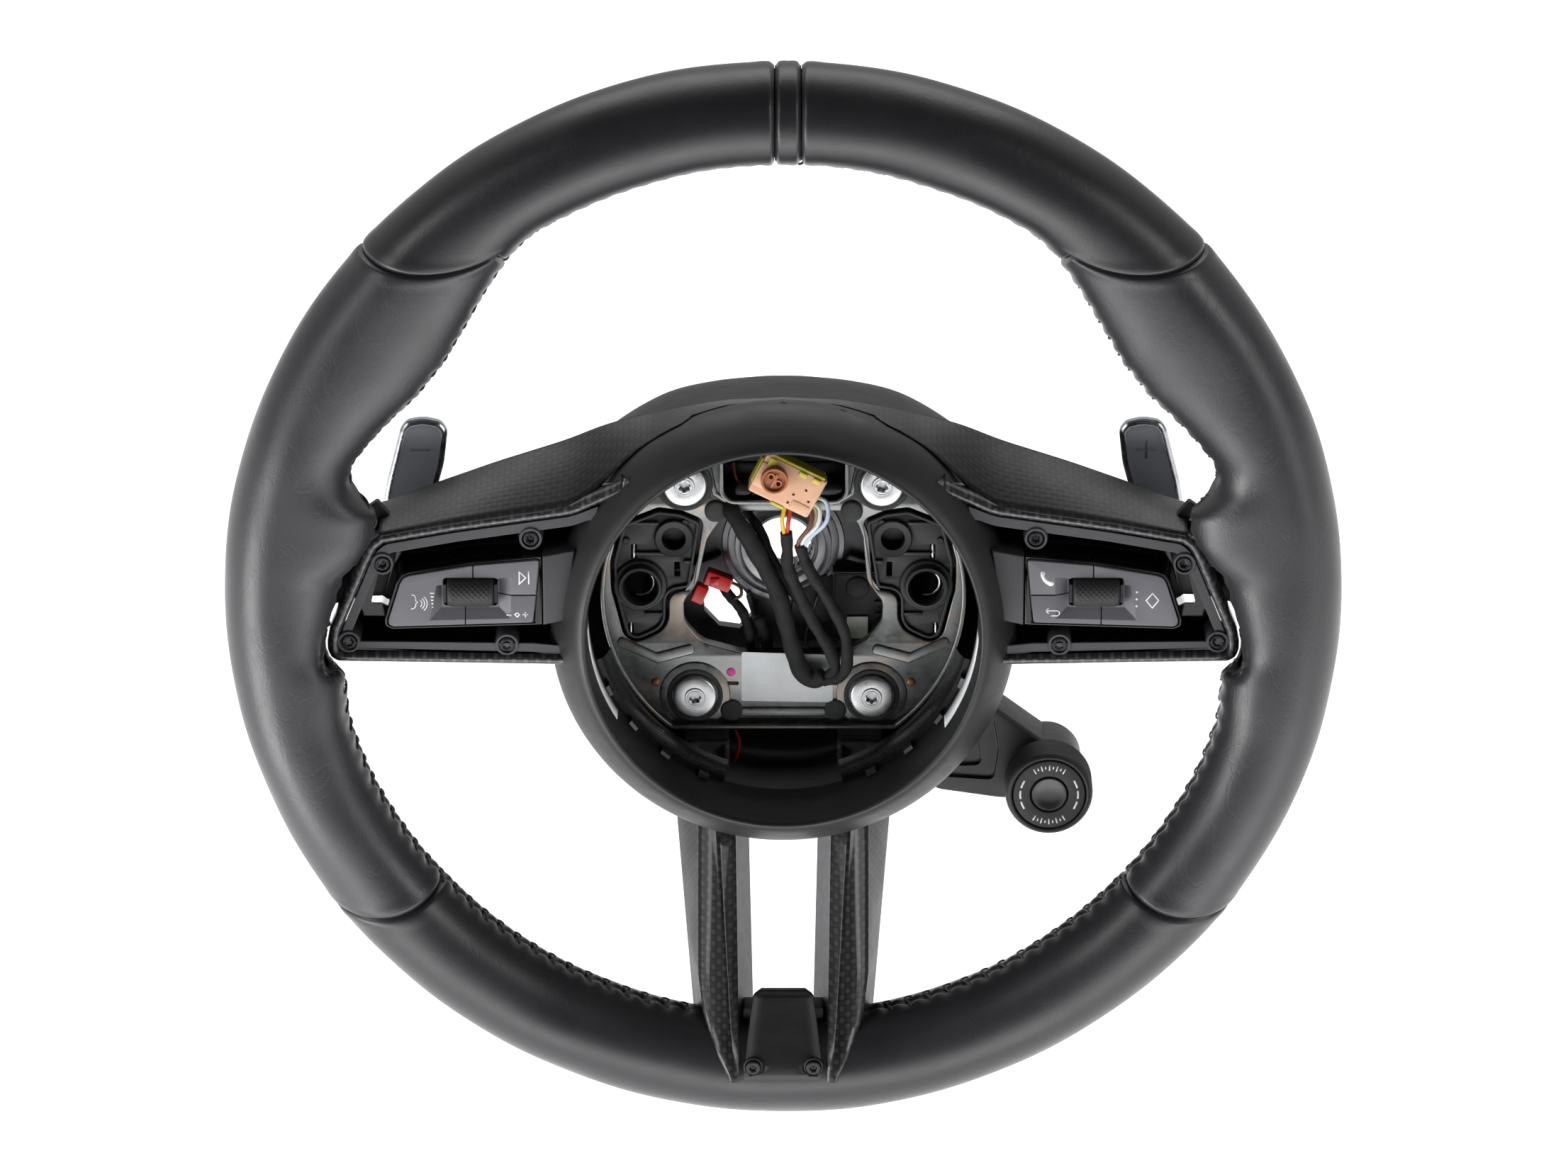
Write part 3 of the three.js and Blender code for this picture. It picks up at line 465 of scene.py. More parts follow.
class Shader:
    """Short hand for a material's node tree; sizes are in mm."""

    def __init__(self, name):
        self.material = bpy.data.materials.new(name)
        self.material.use_nodes = True
        self.tree = self.material.node_tree
        self.tree.nodes.clear()
        output = self.tree.nodes.new("ShaderNodeOutputMaterial")
        self.surface = self.tree.nodes.new("ShaderNodeBsdfPrincipled")
        self.tree.links.new(self.surface.outputs[0], output.inputs[0])
        coordinates = self.tree.nodes.new("ShaderNodeTexCoord")
        self.place = coordinates.outputs["Object"]
        self.uv = coordinates.outputs["UV"]

    def put(self, socket, value):
        if isinstance(value, bpy.types.NodeSocket):
            self.tree.links.new(value, socket)
        elif isinstance(value, tuple) and len(value) == 3 and len(socket.default_value) == 4:
            socket.default_value = (*value, 1)
        else:
            socket.default_value = value

    def node(self, kind, **inputs):
        node = self.tree.nodes.new(kind)
        for key, value in inputs.items():
            self.put(node.inputs[key.replace("_", " ")], value)
        return node

    def math(self, operation, first, second=0.0, clamp=False):
        node = self.tree.nodes.new("ShaderNodeMath")
        node.operation = operation
        node.use_clamp = clamp
        self.put(node.inputs[0], first)
        self.put(node.inputs[1], second)
        return node.outputs[0]

    def add(self, first, second):
        return self.math("ADD", first, second)

    def less(self, first, second):
        return self.math("SUBTRACT", first, second)

    def times(self, first, second):
        return self.math("MULTIPLY", first, second)

    def scaled(self, vector, factors):
        node = self.tree.nodes.new("ShaderNodeVectorMath")
        node.operation = "MULTIPLY"
        self.put(node.inputs[0], vector)
        node.inputs[1].default_value = factors
        return node.outputs[0]

    def noise(self, size, detail=3.0, rough=0.55, stretch=None, distort=0.0):
        vector = self.scaled(self.place, stretch) if stretch else self.place
        node = self.node("ShaderNodeTexNoise", Vector=vector, Scale=1000.0 / size, Detail=detail,
                         Roughness=rough, Distortion=distort)
        return node.outputs["Fac"]

    def voronoi(self, size, feature="F1"):
        node = self.node("ShaderNodeTexVoronoi", Vector=self.place)
        node.feature = feature
        node.inputs["Scale"].default_value = 1000.0 / size
        return node.outputs["Distance"]

    def span(self, value, low=0.0, high=1.0, start=0.3, end=0.7):
        """Maps start..end, by default the usual range of noise, to low..high."""
        node = self.tree.nodes.new("ShaderNodeMapRange")
        self.put(node.inputs[0], value)
        for i, limit in enumerate((start, end, low, high), 1):
            node.inputs[i].default_value = limit
        return node.outputs[0]

    def mix(self, factor, first, second):
        node = self.tree.nodes.new("ShaderNodeMix")
        node.data_type = "RGBA"
        self.put(node.inputs["Factor"], factor)
        self.put(node.inputs[6], first)
        self.put(node.inputs[7], second)
        return node.outputs[2]

    def bump(self, height, strength, distance, normal=None):
        node = self.node("ShaderNodeBump", Height=height, Strength=strength,
                         Distance=distance * MM)
        if normal is not None:
            self.put(node.inputs["Normal"], normal)
        return node.outputs[0]

    def done(self, **inputs):
        for key, value in inputs.items():
            self.put(self.surface.inputs[key.replace("_", " ")], value)
        return self.material


def leather(name, tone=1.0, wear=1.0):
    """Grained black leather; tone brightens it, wear deepens its creases."""
    mat = Shader(name)
    grain = mat.voronoi(size=1.05, feature="SMOOTH_F1")
    fine = mat.noise(size=0.34, detail=4.0, rough=0.6)
    crease = mat.noise(size=9.0, detail=5.0, rough=0.62, stretch=(1.0, 1.0, 0.45), distort=0.6)
    broad = mat.noise(size=70.0, detail=2.0, rough=0.5)
    dark = (0.0115 * tone, 0.0116 * tone, 0.0142 * tone)
    light = (0.0175 * tone, 0.0172 * tone, 0.0195 * tone)
    base = mat.mix(mat.span(broad, low=0.3, high=0.75, start=0.0, end=1.0), dark, light)
    # pore mask, held at zero strength
    pores = mat.span(mat.voronoi(size=2.3), low=0.0, high=0.35, start=0.0, end=1.0)
    base = mat.mix(mat.times(pores, 0.0), base, base)
    patches = mat.noise(size=26.0, detail=4.0, rough=0.6)
    rough = mat.add(mat.span(patches, low=0.29, high=0.41), mat.times(fine, 0.05))
    # narrow valleys where the crease noise passes its middle value
    valleys = mat.tree.nodes.new("ShaderNodeValToRGB")
    mat.put(valleys.inputs[0], crease)
    stops = ((0.0, 0.0), (0.47, 0.9), (0.5, 0.55), (0.53, 0.92), (1.0, 1.0))
    elements = valleys.color_ramp.elements
    while len(elements) < len(stops):
        elements.new(0.5)
    for element, (position, height) in zip(elements, stops):
        element.position = position
        element.color = (height, height, height, 1)
    normal = mat.bump(grain, strength=0.16, distance=0.12)
    normal = mat.bump(fine, strength=0.14, distance=0.1, normal=normal)
    normal = mat.bump(valleys.outputs[0], strength=0.14 * wear, distance=0.35, normal=normal)
    return mat.done(Base_Color=base, Roughness=rough, Normal=normal, Specular_IOR_Level=0.5,
                    Coat_Weight=0.12, Coat_Roughness=0.32)


def plastic(name, tone, rough, grain=0.32, strength=0.25):
    """Moulded plastic with a fine texture, faint flow marks and handling marks."""
    mat = Shader(name)
    texture = mat.noise(size=grain, detail=4.0, rough=0.65)
    broad = mat.noise(size=38.0, detail=3.0, rough=0.55)
    marks = mat.noise(size=5.0, detail=6.0, rough=0.7, stretch=(0.35, 1.0, 1.6))
    tint = (1.0, 1.0, 1.12)
    base = mat.mix(mat.span(broad), tuple(tone * 0.88 * t for t in tint),
                   tuple(tone * 1.15 * t for t in tint))
    roughness = mat.add(mat.span(marks, low=rough - 0.05, high=rough + 0.06),
                        mat.times(texture, 0.06))
    return mat.done(Base_Color=base, Roughness=roughness, Specular_IOR_Level=0.5,
                    Normal=mat.bump(texture, strength=strength, distance=0.06))


def gloss(name, tone=0.004, rough=0.06):
    """Polished black plastic with faint orange peel, dust and hairline rub marks."""
    mat = Shader(name)
    peel = mat.noise(size=2.6, detail=2.0, rough=0.5)
    specks = mat.math("LESS_THAN", mat.voronoi(size=3.4), 0.055)
    hair = mat.noise(size=1.4, detail=5.0, rough=0.75, stretch=(0.12, 1.0, 1.0))
    base = mat.mix(mat.times(specks, 0.35), (tone, tone, tone * 1.15), (0.12, 0.12, 0.12))
    roughness = mat.add(mat.span(hair, low=rough, high=rough + 0.09, start=0.45, end=0.8),
                        mat.times(specks, 0.4))
    return mat.done(Base_Color=base, Roughness=roughness, Specular_IOR_Level=0.55,
                    Normal=mat.bump(peel, strength=0.035, distance=0.12))


def carbon(name, lacquer, dark, light, specular=0.5):
    """Carbon weave under lacquer; UVs are in millimetres."""
    mat = Shader(name)
    tow_width = 2.0
    cell = mat.node("ShaderNodeSeparateXYZ", Vector=mat.scaled(mat.uv, (1 / tow_width,) * 3))
    waver = mat.times(mat.less(mat.noise(size=14.0, detail=1.0), 0.5), 0.16)
    u, v = mat.add(cell.outputs[0], waver), mat.add(cell.outputs[1], waver)
    cell_u, cell_v = mat.math("FLOOR", u), mat.math("FLOOR", v)
    # warp is 1 in every other cell, 0 between
    parity = mat.math("FLOORED_MODULO", mat.add(cell_u, cell_v), 2.0)
    warp = mat.math("LESS_THAN", parity, 0.5)
    off_u = mat.math("ABSOLUTE", mat.less(mat.less(u, cell_u), 0.5))
    off_v = mat.math("ABSOLUTE", mat.less(mat.less(v, cell_v), 0.5))

    def choose(on_warp, on_weft):
        return mat.add(mat.times(warp, on_warp), mat.times(mat.less(1.0, warp), on_weft))

    def strands(stretch):
        vector = mat.scaled(mat.uv, stretch)
        return mat.node("ShaderNodeTexNoise", Vector=vector, Scale=1.0, Detail=3.0).outputs["Fac"]

    across, along = choose(off_u, off_v), choose(off_v, off_u)
    tow = mat.less(1.0, mat.math("POWER", mat.times(across, 2.0), 2.4))
    crown = mat.less(1.0, mat.times(mat.math("POWER", mat.times(along, 2.0), 2.0), 0.55))
    height = mat.times(tow, crown)
    fibre = choose(strands((9.0, 0.9, 1.0)), strands((0.9, 9.0, 1.0)))
    shade = mat.times(mat.add(0.35, mat.times(warp, 0.65)), height)
    streaks = mat.span(fibre, low=0.55, high=1.25, start=0.25, end=0.75)
    shade = mat.math("MULTIPLY", shade, streaks, clamp=True)
    base = mat.mix(shade, (dark, dark, dark * 1.1), (light, light * 0.99, light * 1.08))
    normal = mat.bump(height, strength=0.3, distance=0.12)
    normal = mat.bump(fibre, strength=0.12, distance=0.05, normal=normal)
    rough = mat.span(mat.noise(size=24.0, detail=4.0, rough=0.6), low=0.36, high=0.5)
    return mat.done(Base_Color=base, Roughness=rough, Metallic=0.25, Normal=normal,
                    Specular_IOR_Level=specular, Coat_Weight=lacquer,
                    Coat_Roughness=0.06 if lacquer > 0.5 else 0.4)


def metal(name, color, rough, grain, strength, tint=None, tint_amount=0.0, metallic=1.0):
    """Metal with fine mottling, and blotches of tint if one is given."""
    mat = Shader(name)
    texture = mat.noise(size=grain, detail=5.0, rough=0.65)
    fine = mat.noise(size=3.2, detail=5.0, rough=0.7)
    base = mat.mix(mat.span(fine), tuple(c * 0.78 for c in color),
                   tuple(min(1.0, c * 1.12) for c in color))
    if tint:
        blotches = mat.span(mat.noise(size=16.0, detail=4.0, rough=0.6), start=0.5, end=0.72)
        base = mat.mix(mat.times(blotches, tint_amount), base, tint)
    roughness = mat.add(mat.span(fine, low=rough - 0.07, high=rough + 0.1),
                        mat.times(texture, 0.05))
    return mat.done(Base_Color=base, Roughness=roughness, Metallic=metallic,
                    Normal=mat.bump(texture, strength=strength, distance=0.1))


def gunmetal(name):
    mat = Shader(name)
    broad = mat.noise(size=30.0, detail=3.0, rough=0.55)
    fine = mat.noise(size=7.0, detail=5.0, rough=0.6)
    grain = mat.noise(size=0.3, detail=3.0, rough=0.6)
    return mat.done(
        Base_Color=mat.mix(mat.span(broad), (0.36, 0.38, 0.425), (0.42, 0.44, 0.49)),
        Roughness=mat.span(fine, low=0.36, high=0.43),
        Normal=mat.bump(grain, strength=0.02, distance=0.02), Metallic=0.42)


def cloth_tape(name):
    """Woven cloth tape wound round a loom."""
    mat = Shader(name)
    weave = mat.times(mat.voronoi(size=0.75), 1.0)
    fuzz = mat.noise(size=0.5, detail=6.0, rough=0.75)
    wrap = mat.node("ShaderNodeTexWave", Vector=mat.place, Scale=34.0, Distortion=5.5, Detail=2.0)
    wrap.bands_direction = "DIAGONAL"
    base = mat.mix(fuzz, (0.006, 0.006, 0.0066), (0.0228, 0.0228, 0.024))
    normal = mat.bump(wrap.outputs["Fac"], strength=0.35, distance=0.5)
    normal = mat.bump(weave, strength=0.5, distance=0.16, normal=normal)
    normal = mat.bump(fuzz, strength=0.3, distance=0.12, normal=normal)
    return mat.done(Base_Color=base, Roughness=mat.span(fuzz, low=0.62, high=0.86),
                    Normal=normal, Specular_IOR_Level=0.3)


def paint(name, color, rough, vary=0.12, strength=0.08):
    """Plain colour, varied by the given share."""
    mat = Shader(name)
    fine = mat.noise(size=0.6, detail=4.0, rough=0.6)
    broad = mat.noise(size=7.0, detail=3.0, rough=0.55)
    base = mat.mix(mat.span(broad), tuple(c * (1 - vary) for c in color),
                   tuple(min(1.0, c * (1 + vary)) for c in color))
    return mat.done(Base_Color=base, Roughness=mat.span(fine, low=rough - 0.06, high=rough + 0.08),
                    Normal=mat.bump(fine, strength=strength, distance=0.08))


LEATHER = leather("leather_smooth")
LEATHER_GRIP = leather("leather_grip", tone=1.5, wear=1.6)
STITCH = paint("stitch_thread", color=(0.05, 0.047, 0.038), rough=0.75, vary=0.3, strength=0.5)
SATIN = plastic("satin_black_plastic", tone=0.0165, rough=0.46)
MATTE = plastic("matte_black_plastic", tone=0.012, rough=0.56, grain=0.4, strength=0.35)
WALL = plastic("side_wall_plastic", tone=0.06, rough=0.5, grain=0.5, strength=0.3)
HUB_BLACK = plastic("hub_black_plastic", tone=0.008, rough=0.42, grain=0.5, strength=0.2)
KEY = plastic("key_plastic", tone=0.105, rough=0.48, grain=0.26, strength=0.22)
POD_GREY = plastic("pod_plastic", tone=0.03, rough=0.5, grain=0.26, strength=0.22)
LAND = plastic("frame_land_plastic", tone=0.045, rough=0.42, grain=0.3, strength=0.15)
BEZEL = plastic("bezel_plastic", tone=0.010, rough=0.44)
LEDGE = plastic("ledge_black", tone=0.010, rough=0.24, grain=0.5, strength=0.12)
GLOSS = gloss("gloss_black_plastic")
BUTTON = gloss("button_blue_black", tone=0.010, rough=0.22)
CARBON_SATIN = carbon("carbon_satin", lacquer=0.15, dark=0.008, light=0.026)
CARBON_LEG = carbon("carbon_leg_lacquer", lacquer=0.52, dark=0.003, light=0.036, specular=0.3)
CARBON_SIDE = carbon("carbon_leg_side", lacquer=0.0, dark=0.004, light=0.024, specular=0.25)
CARBON_GLOSS = carbon("carbon_lacquer", lacquer=0.7, dark=0.003, light=0.08)
ZINC = metal("galvanised_sheet", color=(0.2, 0.205, 0.205), rough=0.3, grain=0.7, strength=0.12,
             tint=(0.36, 0.25, 0.16), tint_amount=0.55)
CAST = metal("cast_magnesium", color=(0.1, 0.1, 0.105), rough=0.48, grain=0.9, strength=0.5,
             tint=(0.2, 0.17, 0.14), tint_amount=0.4, metallic=0.85)
STEEL = metal("bright_steel", color=(0.72, 0.72, 0.71), rough=0.26, grain=0.5, strength=0.08)
BLACK_STEEL = metal("black_oxide_screw", color=(0.03, 0.03, 0.033), rough=0.38, grain=0.5,
                    strength=0.15, metallic=0.7)
CHROME_EDGE = metal("polished_bevel", color=(0.6, 0.61, 0.64), rough=0.2, grain=1.4,
                    strength=0.02)
RIVET = metal("brown_rivet", color=(0.23, 0.12, 0.06), rough=0.4, grain=0.5, strength=0.2,
              metallic=0.7)
WASHER = metal("turned_zinc", color=(0.66, 0.67, 0.68), rough=0.3, grain=0.45, strength=0.1,
               metallic=0.95)
MACHINED = metal("machined_bore", color=(0.22, 0.22, 0.23), rough=0.3, grain=0.4, strength=0.15,
                 metallic=0.95)
GUNMETAL = gunmetal("gunmetal_chrome")
LOOM = cloth_tape("loom_tape")
WHITE_INK = paint("icon_white", color=(0.72, 0.72, 0.72), rough=0.5, vary=0.04, strength=0.05)
LABEL = paint("blank_label", color=(0.9, 0.93, 0.95), rough=0.4, vary=0.05, strength=0.06)
FOAM = paint("moulded_foam", color=(0.03, 0.03, 0.03), rough=0.9, vary=0.2, strength=0.6)
RUBBER = paint("rubber_grey", color=(0.035, 0.037, 0.036), rough=0.75, vary=0.2, strength=0.4)
PINK = paint("paint_dot", color=(0.75, 0.06, 0.35), rough=0.4)
FOIL = paint("foil_grey", color=(0.3, 0.31, 0.34), rough=0.4)
PEACH = paint("connector_peach", color=(0.78, 0.46, 0.29), rough=0.38, vary=0.06, strength=0.05)
LIME = paint("connector_lock", color=(0.62, 0.56, 0.06), rough=0.36, vary=0.08, strength=0.05)
COPPER = paint("connector_plug", color=(0.42, 0.15, 0.06), rough=0.34, vary=0.1, strength=0.05)
ORANGE = paint("connector_orange", color=(0.75, 0.22, 0.03), rough=0.4)
RED = paint("connector_red", color=(0.5, 0.012, 0.012), rough=0.32, vary=0.1, strength=0.05)
BROWN = paint("wire_dark_brown", color=(0.12, 0.045, 0.025), rough=0.35)
CREAM = paint("label_cream", color=(0.62, 0.66, 0.56), rough=0.45)

# ------------------------------------------------------------------ shared dimensions
RIM_RADIUS = 170.5
# half the rim's section across and along the wheel's axis
RIM_RADIAL, RIM_AXIAL = 17.0, 18.0
HUB_Z = -14.0
HUB_RING_RADIUS = 79.0

# (x, z) outer edge of the right pad's surround
FRAME_OUTER = [
    [62, -26.4], [84.2, -25.9], [150.2, -24.9], [152.8, -23.4], [153.9, -20.5], [153.9, -17.5],
    [153, -12.4], [142.7, 12.4], [139.8, 18.2], [135.7, 21.6], [110.8, 26.1], [71.4, 31.9],
    [62, 36.5],
]
# (x, depth) faces of the armature's right spoke
SPOKE_FRONT = [[34, 50.5], [59.5, 48.5], [70, 36.5], [84, 26], [146, 22], [156, 9], [168, -3.5]]
SPOKE_REAR = [[168, 4], [159, 18], [147, 31], [84, 35], [75, 45], [63, 56], [38, 58]]
# (z, depth) centre line of the armature's lower legs
LEG_CENTRE = [[-168, 0], [-150, 8], [-120, 22], [-95, 35], [-76, 48], [-60, 54]]


def spoke_bar(sign, gap):
    """Room for an armature spoke with a gap round it."""
    outline = [(sign * x, depth - gap) for x, depth in SPOKE_FRONT]
    outline += [(sign * x, depth + gap) for x, depth in SPOKE_REAR]
    return loft([[(x, depth, z) for x, depth in outline] for z in (-7 - gap, 15 + gap)])


def leg_bar(sign, gap):
    """Room for an armature leg with a gap round it."""
    rings = []
    for z in np.linspace(-60, -168, 11):
        t = (z + 60) / -108
        x, half = 26 - 5.5 * t, 6.5 - 2.9 * t + gap
        depth = np.interp(z, *np.transpose(LEG_CENTRE))
        rings.append([(sign * (x + a * half), depth + b * (3.4 + gap), z)
                      for a, b in ((-1, -1), (1, -1), (1, 1), (-1, 1))])
    return loft(rings)


# ------------------------------------------------------------------ rim
# (degrees above the horizontal, extra radial swell) of the inner side of the rim
THUMB_FRONT = [
    [-24, 0], [-16, .8], [-12, 3.1], [-9, 3.4], [-6, 0], [4, 6], [5, 10.3], [8, 14.8],
    [13, 14.6], [15.5, 4.4], [18, 1.2], [24, 6.1], [31, 12.1], [37, 13], [43, 10.3], [48, 6.5],
    [54, 1.6], [58, 0],
]
# slimmer at the back, where the leather only folds over the spoke from the front
THUMB_BACK = [
    [-24, 0], [-16, .5], [-12, 1.2], [-9, .8], [-6, 0], [4, 0], [8, .2], [13, .5], [18, .8],
    [24, 3.4], [31, 7.6], [37, 8.6], [43, 6.6], [48, 3.6], [54, .8], [58, 0],
]
# the opening in the leather behind each pad, a little larger than the surround
POCKET = rounded([(x * 1.003 + 0.1, z * 1.02) for x, z in FRAME_OUTER], 1.5, 3)
STITCH_PITCH = 7.0
SEAM_RADIUS = RIM_RADIUS - RIM_RADIAL
# radius used to place and lean the thread
THREAD_RADIUS = 153
# (height, width in radians) of the pucker at each stitch
PUCKER_HEIGHT, PUCKER_WIDTH = 0.52, 0.26
SECTION_COUNT = 76


def polygon_nearest(x, z, outline):
    """Distance to an outline, negative inside, and its nearest point."""
    p = np.asarray(outline, float)
    best, near_x, near_z = np.full(x.shape, 1e9), np.zeros(x.shape), np.zeros(x.shape)
    inside = np.zeros(x.shape, bool)
    for (ax, az), (bx, bz) in zip(p, np.roll(p, -1, 0)):
        ex, ez = bx - ax, bz - az
        t = np.clip(((x - ax) * ex + (z - az) * ez) / (ex * ex + ez * ez + 1e-12), 0, 1)
        px, pz = ax + t * ex, az + t * ez
        distance = np.hypot(x - px, z - pz)
        closer = distance < best
        best = np.where(closer, distance, best)
        near_x, near_z = np.where(closer, px, near_x), np.where(closer, pz, near_z)
        inside ^= ((az > z) != (bz > z)) & (x < ex * (z - az) / (ez + 1e-12) + ax)
    return np.where(inside, -best, best), near_x, near_z


def snapped(grid, mask):
    """Moves the masked points sideways onto the border of the pad pocket."""
    out = grid.copy()
    side = np.where(grid[..., 0] < 0, -1.0, 1.0)
    _, near_x, near_z = polygon_nearest(np.abs(grid[..., 0]), grid[..., 2], POCKET)
    out[..., 0] = np.where(mask, side * near_x, grid[..., 0])
    out[..., 2] = np.where(mask, near_z, grid[..., 2])
    return out


def holed_shell(outer, inner, inside):
    """Closed skin between two wrapped grids, open where a cell's corner is inside."""
    rows, cols = outer.shape[:2]
    right = np.roll(inside, -1, 1)
    gone = inside[:-1] | inside[1:] | right[:-1] | right[1:]
    points = np.concatenate([outer.reshape(-1, 3), inner.reshape(-1, 3)])
    off, faces = rows * cols, []
    for i in range(rows - 1):
        for j in range(cols):
            if gone[i, j]:
                continue
            k = (j + 1) % cols
            a, b, c, d = i * cols + j, i * cols + k, (i + 1) * cols + k, (i + 1) * cols + j
            faces.append([a, b, c, d])
            faces.append([off + d, off + c, off + b, off + a])
            for di, dj, p, q in ((-1, 0, a, b), (1, 0, c, d), (0, -1, d, a), (0, 1, b, c)):
                row, col = i + di, (j + dj) % cols
                if row < 0 or row >= rows - 1 or gone[row, col]:
                    faces.append([p, q, off + q, off + p])
    used = np.unique(np.array(faces))
    new = np.full(len(points), -1)
    new[used] = np.arange(len(used))
    return [tuple(p) for p in points[used]], new[np.array(faces)].tolist()


def pocketed_shell(outer, inner, margin):
    """Skin with the pad pockets cut away; points within margin of the border snap to it."""
    far, _, _ = polygon_nearest(np.abs(outer[..., 0]), outer[..., 2], POCKET)
    mask = np.abs(far) < margin
    return holed_shell(snapped(outer, mask), snapped(inner, mask), (far < 0) & ~mask)


def rim_points(turn, section, off):
    """Rim skin raised by off; turn runs round the wheel from +x, section round the rim
    from the outermost line towards the back."""
    c, s = np.cos(section), np.sin(section)
    back = np.clip((s - 0.02) / 0.5, 0, 1)
    back = back * back * (3 - 2 * back)
    height = np.degrees(np.arctan2(np.sin(turn), np.abs(np.cos(turn))))
    front_swell = soft_table(THUMB_FRONT, height, 0.75)
    back_swell = soft_table(THUMB_BACK, height, 0.75)
    swell = np.where(c < 0, front_swell * (1 - back) + back_swell * back, 0.0)
    radius = RIM_RADIUS + c * (RIM_RADIAL + off + swell)
    return np.stack([radius * np.cos(turn), s * (RIM_AXIAL + off), radius * np.sin(turn)], -1)


def section_angles():
    """Angles round the rim's section, gathered round the stitched inner seam."""
    angles = np.linspace(0, 2 * math.pi, SECTION_COUNT, endpoint=False)
    angles = angles + 0.27 * np.sin(angles)
    return np.sort(np.mod(angles, 2 * math.pi))


SECTIONS = section_angles()


def seam_turns(sign, curve):
    """Turn at which each section angle meets a seam curve z(x), left (-1) or right (1)."""
    z = np.full(SECTIONS.shape, 0.0) + curve(-130.0)
    for _ in range(12):
        across = np.sqrt(np.maximum(RIM_RADIUS ** 2 - z ** 2, 1.0))
        turn = np.arctan2(z, sign * across)
        p = rim_points(turn, SECTIONS, 0.0)
        sine = curve(-np.abs(p[..., 0])) / np.hypot(p[..., 0], p[..., 2])
        limited = np.clip(sine * RIM_RADIUS, -RIM_RADIUS + 1, RIM_RADIUS - 1)
        z = limited
        turn = np.arcsin(np.clip(sine, -1, 1))
        z = RIM_RADIUS * np.sin(turn)
    return math.pi - turn if sign < 0 else turn


def turns_at(x):
    """Turn near the top at which each section angle meets a plane of constant x."""
    turn = np.full(SECTIONS.shape, math.pi / 2)
    for _ in range(8):
        p = rim_points(turn, SECTIONS, 0.0)
        turn = np.arccos(np.clip(x / np.hypot(p[:, 0], p[:, 2]), -1, 1))
    return turn


def top_seam(x):
    return 119.6 + 5.4 * ((x + 117) / 23) ** 2


LOW_SEAM = np.polyfit([-154.9, -138.8, -115.5], [-107.4, -110.6, -100.9], 2)


def low_seam(x):
    return np.polyval(LOW_SEAM, x)


def top_left_turns():
    """Upper left seam; over the inner side of the rim it runs straight back."""
    line = seam_turns(-1, top_seam)
    lost = (line < math.radians(126.3)) & (np.abs(SECTIONS - math.pi) < 0.8)
    line[lost] = np.interp(SECTIONS[lost], SECTIONS[~lost], line[~lost])
    return line


TOP_LEFT = top_left_turns()
TOP_RIGHT = math.pi - TOP_LEFT
LOW_LEFT, LOW_RIGHT = seam_turns(-1, low_seam), seam_turns(1, low_seam) + 2 * math.pi
BAND_LEFT, BAND_RIGHT = turns_at(-2.9), turns_at(6.0)
# waves of uneven leather: (waves round the wheel, waves round the section, height)
UNEVENNESS = ((7, 2, .10), (17, 3, .07), (31, 1, .05), (11, 4, .05))


def rim_cover(name, start, end, replaces, material=LEATHER, gap=0.1, tuck=1.1, groove=0.75,
              pocketed=False):
    """Leather between two seam lines, tucked down by tuck in a groove at each end."""
    length = RIM_RADIUS * float(np.mean(end - start))
    if length < 12:
        run = np.linspace(0, length, 22)
    else:
        edge = [0, .25, .55, .9, 1.3, 1.8, 2.4, 3.2, 4.2]
        count = max(4, int((length - 8.4) / 1.15))
        run = np.concatenate([edge, np.linspace(4.2, length - 4.2, count + 1)[1:-1],
                              [length - e for e in edge[::-1]]])
    share = (gap + run * (length - 2 * gap) / length) / length
    turn = start[None] + share[:, None] * (end - start)[None]
    section = np.broadcast_to(SECTIONS[None], turn.shape)
    near = np.minimum(run[:, None], length - run[:, None])
    off = -tuck * np.exp(-(near / groove) ** 2) + 0.2 * np.exp(-((near - 3.2) / 2.2) ** 2)
    # pulled in along the stitched inner seam, with a pucker at each stitch
    wide = np.abs(np.mod(section, 2 * math.pi) - math.pi)
    wave = np.cos(2 * math.pi * turn * SEAM_RADIUS / STITCH_PITCH)
    pucker = PUCKER_HEIGHT * np.exp(-(wide / PUCKER_WIDTH) ** 2) * wave
    off = off + pucker * (1 - 0.75 * np.exp(-(wide / 0.05) ** 2))
    off = off - 0.95 * np.exp(-(wide / 0.055) ** 2)
    for k, (around, across, height) in enumerate(UNEVENNESS):
        off = off + height * np.sin(around * turn + across * section + 1.7 * k)
    # tucked under round each pad frame
    p = rim_points(turn, section, off)
    far, _, _ = polygon_nearest(np.abs(p[..., 0]), p[..., 2], FRAME_OUTER)
    dip = 1.3 * np.exp(-(np.maximum(far, 0) / 1.3) ** 2)
    off = off - np.where(p[..., 1] < 14, dip, 0.0)
    seam_dip = 0.7 * tuck * np.exp(-(near / groove) ** 2)
    outer = rim_points(turn, section, off)
    inner = rim_points(turn, section, np.minimum(off * 0.3 - 1.65 - seam_dip, off - 0.9))
    skin = pocketed_shell(outer, inner, 0.85) if pocketed else shell(outer, inner, wrap=True)
    return make(name, skin, material, replaces=replaces)


